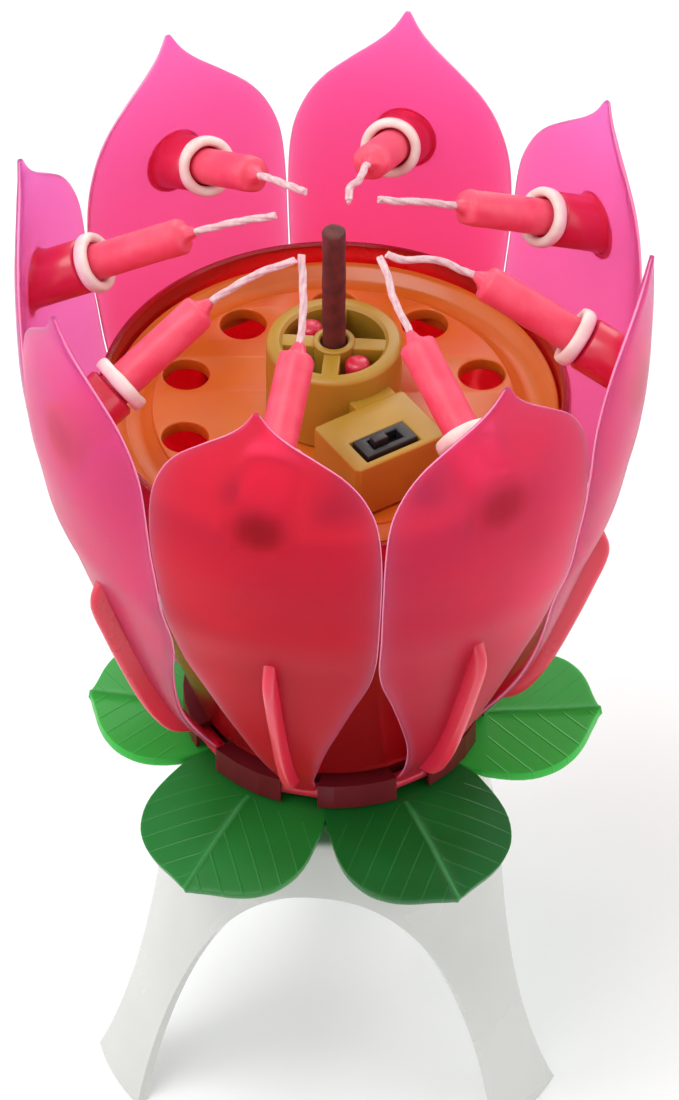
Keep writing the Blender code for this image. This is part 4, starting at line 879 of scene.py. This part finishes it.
# Deck
# Yellow plastic plate that closes the bowl, painted orange as painted reflection of red light from the bowl
# and petals, with ten round holes that let the sound out and a sunken channel round its disc. It drops in
# and rests on the bowl's ledge, and two posts carry the board.
deck_top = 0.1077
deck_thickness = 0.0018
deck_disc_radius = 0.0234
deck_outer_radius = 0.0289
deck_skirt = 0.0032
deck_edge_round = 0.00022
channel_depth = 0.0014
channel_floor = deck_top - channel_depth
deck_lip = deck_outer_radius - 0.0010
hole_radius = 0.0030
hole_circle = 0.0200
first_hole = 108
board_top = 0.0971
board_post_radius = 0.0015
board_pin_radius = 0.0008
board_post_aside = 0.0115

# Painted reflection: the yellow plate is painted orange for the red light it gets from the bowl and petals.
deck_yellow_and_painted_bounce = plastic("deck_yellow_and_painted_bounce", (0.70, 0.185, 0.016), (0.60, 0.140, 0.010), 0.30, 55, 0.04, 0.30, 0.05)


def plate(name, outlines, middle_height, half_thickness, rounding):
    """Flat plate with rounded edges from closed outlines; the first is its edge, the others are its holes."""
    curve = bpy.data.curves.new(name, "CURVE")
    curve.dimensions = "2D"
    curve.fill_mode = "BOTH"
    curve.extrude = half_thickness - rounding
    curve.bevel_depth = rounding
    curve.bevel_resolution = 2
    curve.offset = -rounding
    for outline in outlines:
        spline = curve.splines.new("POLY")
        spline.points.add(len(outline) - 1)
        for point, (x, y) in zip(spline.points, outline):
            point.co = (x, y, 0, 1)
        spline.use_cyclic_u = True
    carrier = bpy.data.objects.new(name, curve)
    scene.collection.objects.link(carrier)
    bpy.context.view_layer.update()
    mesh = bpy.data.meshes.new_from_object(carrier.evaluated_get(bpy.context.evaluated_depsgraph_get()))
    bpy.data.objects.remove(carrier)
    shape = bmesh.new()
    shape.from_mesh(mesh)
    close_up(shape, 0.000004)
    shape.transform(Matrix.Translation((0, 0, middle_height)))
    return shape


def circle(radius, steps, middle=(0, 0)):
    """Points of a circle."""
    return [(middle[0] + radius * cos(2 * pi * step / steps),
             middle[1] + radius * sin(2 * pi * step / steps)) for step in range(steps)]


deck_holes = [circle(hole_radius, 40, (outward(first_hole + 36 * index) * hole_circle).xy) for index in range(10)]
deck_plate = plate("deck_plate", [circle(deck_disc_radius, 128)] + deck_holes, deck_top - deck_thickness / 2,
                   deck_thickness / 2, deck_edge_round)
put_together("deck_disc", deck_plate, deck_yellow_and_painted_bounce, "flower", ["deck"], flat_above=30)
channel_shape = lathe([
    (deck_disc_radius - 0.0003, deck_top - 0.0003), (deck_disc_radius + 0.0002, deck_top - 0.0004),
    (deck_disc_radius + 0.0012, channel_floor + 0.0001), (deck_disc_radius + 0.0017, channel_floor),
    (deck_lip - 0.0014, channel_floor), (deck_lip - 0.0010, channel_floor + 0.0002),
    (deck_lip - 0.0001, deck_top - 0.0001), (deck_lip + 0.0003, deck_top), (deck_outer_radius - 0.0002, deck_top),
    (deck_outer_radius, deck_top - 0.0003), (deck_outer_radius, deck_top - deck_skirt),
    (deck_disc_radius, deck_top - deck_skirt), (deck_disc_radius - 0.0003, deck_top - 0.0015)])
put_together("deck_channel", channel_shape, deck_yellow_and_painted_bounce, "flower", flat_above=40)
for side in (-1, 1):
    post_shape = lathe([
        (0, deck_top - 0.0016), (board_post_radius, deck_top - 0.0016), (board_post_radius, board_top + 0.0003),
        (board_pin_radius, board_top + 0.0003), (board_pin_radius, board_top - 0.0017), (0.0006, board_top - 0.0019),
        (0, board_top - 0.0019)], 24)
    post_shape.transform(Matrix.Translation((side * board_post_aside, 0, 0)))
    put_together(f"board_post_{side + 2}", post_shape, deck_yellow_and_painted_bounce, "flower")


# Centre boss, pegs and spark stick
# Olive-yellow ring with four arms and a hub that grips the dark spark stick, and a raised platform in
# front for the switch. Two red pegs stand between the arms.
boss_bottom = 0.1080
boss_top = 0.1188
boss_radius = 0.0087
boss_wall = 0.0021
boss_inner = boss_radius - boss_wall
arm_thickness = 0.0022
arm_half_width = 0.0011
arm_bearing = -5.0
arm_start = 0.0022
arm_end = boss_inner + 0.0006
arm_drop = 0.0004
hub_bore = 0.0018
hub_radius = 0.0027
hub_chamfer = 0.0002
platform_top = 0.1160
platform_bearing = 33.0
near_side, far_side = 0.0102, 0.0206
right_end, left_end = -0.0098, 0.0038
far_corner = 0.0006
near_corner = 0.0004
neck_start = 0.0074
neck_end = 0.0105
neck_half_width = 0.0030
neck_drop = 0.0005
switch_out = 0.0174
switch_aside = -0.0036
window_half_width = 0.0021
window_half_length = 0.0040
peg_radius = 0.0016
spark_radius = 0.0015
spark_top = boss_top + 0.0180


def at_bearing(points, bearing):
    """Turns flat points so that their own +X looks along a bearing."""
    turn = radians(bearing - 90)
    return [(x * cos(turn) - y * sin(turn), x * sin(turn) + y * cos(turn)) for x, y in points]


def block(out, aside, half_out, half_aside, bearing):
    """Corners of a rectangle round a spot out from the axis and aside, turned to a bearing."""
    near, far, right, left = out - half_out, out + half_out, aside - half_aside, aside + half_aside
    return at_bearing([(near, right), (far, right), (far, left), (near, left)], bearing)


boss_olive = plastic("boss_olive", (0.50, 0.30, 0.030), (0.42, 0.24, 0.020), 0.34, 60, 0.04, 0.25)
boss_parts = [("boss_ring", lathe([
    (boss_inner, boss_bottom), (boss_inner, boss_top - 0.0004), (boss_inner + 0.0004, boss_top),
    (boss_radius - 0.0005, boss_top), (boss_radius - 0.0001, boss_top - 0.0003), (boss_radius, boss_top - 0.0006),
    (boss_radius, boss_bottom)], 96))]
for index in range(4):
    arm_edge = block((arm_end + arm_start) / 2, 0, (arm_end - arm_start) / 2, arm_half_width, arm_bearing + 90 * index)
    arm = plate(f"boss_arm_{index + 1}", [arm_edge], boss_top - arm_drop - arm_thickness / 2, arm_thickness / 2, 0.0002)
    boss_parts.append((f"boss_arm_{index + 1}", arm))
boss_parts.append(("boss_hub", lathe([
    (hub_bore, boss_bottom + 0.0004), (hub_bore, boss_top - hub_chamfer), (hub_bore + hub_chamfer, boss_top),
    (hub_radius - hub_chamfer, boss_top), (hub_radius, boss_top - hub_chamfer),
    (hub_radius, boss_bottom + 0.0004)], 40)))
platform_edge = at_bearing([
    (near_side, right_end + near_corner), (near_side + near_corner, right_end), (far_side - far_corner, right_end),
    (far_side, right_end + far_corner), (far_side, left_end - far_corner), (far_side - far_corner, left_end),
    (near_side + near_corner, left_end), (near_side, left_end - near_corner)], platform_bearing)
switch_window = block(switch_out, switch_aside, window_half_width, window_half_length, platform_bearing)
platform_middle = (platform_top + boss_bottom) / 2
platform_half = (platform_top - boss_bottom) / 2
boss_parts.append(("switch_platform", plate("switch_platform", [platform_edge, switch_window], platform_middle,
                                            platform_half, 0.0003)))
neck_edge = block((neck_start + neck_end) / 2, 0, (neck_end - neck_start) / 2, neck_half_width, platform_bearing)
boss_parts.append(("platform_neck", plate("platform_neck", [neck_edge], platform_middle, platform_half - neck_drop,
                                          0.0002)))
for name, shape in boss_parts:
    stands_for = ["centre_boss"] if name == "boss_ring" else ()
    put_together(name, shape, boss_olive, "flower", stands_for, flat_above=40)

peg_circle = (boss_inner + hub_radius) / 2
peg_top = boss_top - 0.0004
for name, bearing in (("peg_front", arm_bearing + 45), ("peg_rear", arm_bearing + 225)):
    peg_shape = lathe([
        (0, boss_bottom), (peg_radius - 0.0001, boss_bottom), (peg_radius, boss_bottom + 0.0002),
        (peg_radius, peg_top - 0.0009), (peg_radius - 0.00015, peg_top - 0.0004),
        (peg_radius - 0.0006, peg_top - 0.0001), (0, peg_top)], 32)
    peg_shape.transform(Matrix.Translation(outward(bearing) * peg_circle))
    put_together(f"{name}_domed", peg_shape, cup_red, "flower", [name], flat_above=60)

spark_brown = plastic("spark_brown", (0.155, 0.022, 0.018), (0.075, 0.012, 0.010), 0.62, 700, 0.5)
spark_foot = boss_bottom + 0.0002
spark_side = spark_top - boss_bottom - 0.0006
spark_profile = [(0, boss_bottom), (spark_radius - 0.0001, boss_bottom), (spark_radius, spark_foot)]
spark_profile += [(spark_radius, spark_foot + spark_side * step / 22) for step in range(1, 23)]
spark_profile += [(spark_radius - 0.0001, spark_top - 0.0001), (0.0009, spark_top), (0, spark_top - 0.0003)]
spark_shape = lathe(spark_profile, 28)
for vert in spark_shape.verts:
    rough = min(1 + 0.07 * noise.noise(vert.co * 900) + 0.03 * noise.noise(vert.co * 2600), 1.04)
    vert.co.x *= rough
    vert.co.y *= rough
put_together("spark_rod", spark_shape, spark_brown, "flower", ["spark_stick"], flat_above=60)


# Switch
# Small black slide switch let into the platform, with a plain square knob that slides along its slot
# to turn the melody on.
case_half_width = 0.0018
case_half_length = 0.0037
case_half_height = 0.0008
base_half_height = 0.0017
base_inset = 0.00005
slot_half_width = 0.0009
slot_half_length = 0.0022
knob_aside = -0.0045
knob_half_width = 0.0006
knob_half_length = 0.0010
knob_half_height = 0.00105
knob_foot_drop = 0.0013
switch_round = 0.0002
switch_top = platform_top + 0.0004

black_plastic = plastic("black_plastic", (0.018, 0.017, 0.017), (0.010, 0.010, 0.010), 0.42, 200, 0.06, 0.0, 0.1)
case_edge = block(switch_out, switch_aside, case_half_width, case_half_length, platform_bearing)
slot_edge = block(switch_out, switch_aside, slot_half_width, slot_half_length, platform_bearing)
base_edge = block(switch_out, switch_aside, case_half_width - base_inset, case_half_length - base_inset,
                  platform_bearing)
knob_edge = block(switch_out, knob_aside, knob_half_width, knob_half_length, platform_bearing)
for name, outlines, middle_height, half_height, body, stands_for in (
        ("switch_case", [case_edge, slot_edge], switch_top - case_half_height, case_half_height, "flower",
         ["switch_body"]),
        ("switch_case_base", [base_edge], switch_top - 2 * case_half_height - base_half_height, base_half_height,
         "flower", ()),
        ("switch_thumb", [knob_edge], switch_top - knob_foot_drop + knob_half_height, knob_half_height, "knob",
         ["switch_knob"])):
    part = plate(name, outlines, middle_height, half_height, switch_round)
    put_together(name, part, black_plastic, body, stands_for, flat_above=40)


# Motor, cells and melody board
# Hidden in the bowl: a small steel motor with a brass pinion, three button cells in a black holder
# between a spring and a brass strip, and the green board with its chip, its sounder and its leads.
brass = metal("bright_brass", (0.78, 0.56, 0.22), 0.26)
board_green = plastic("board_green", (0.020, 0.22, 0.070), (0.012, 0.16, 0.050), 0.35, 300, 0.05, 0.0, 0.4)
red_lead = plastic("red_lead", (0.62, 0.022, 0.022), (0.52, 0.015, 0.015), 0.45, 400, 0.05)
dress(bright_steel, "motor", "button_cell_1", "button_cell_2", "button_cell_3", "contact_spring")
dress(brass, "motor_pinion", "contact_strip", "sounder_disc")
dress(black_plastic, "battery_holder", "melody_chip", "motor_wire")
dress(board_green, "melody_board")
dress(red_lead, "battery_wire")

low, high = cad_box
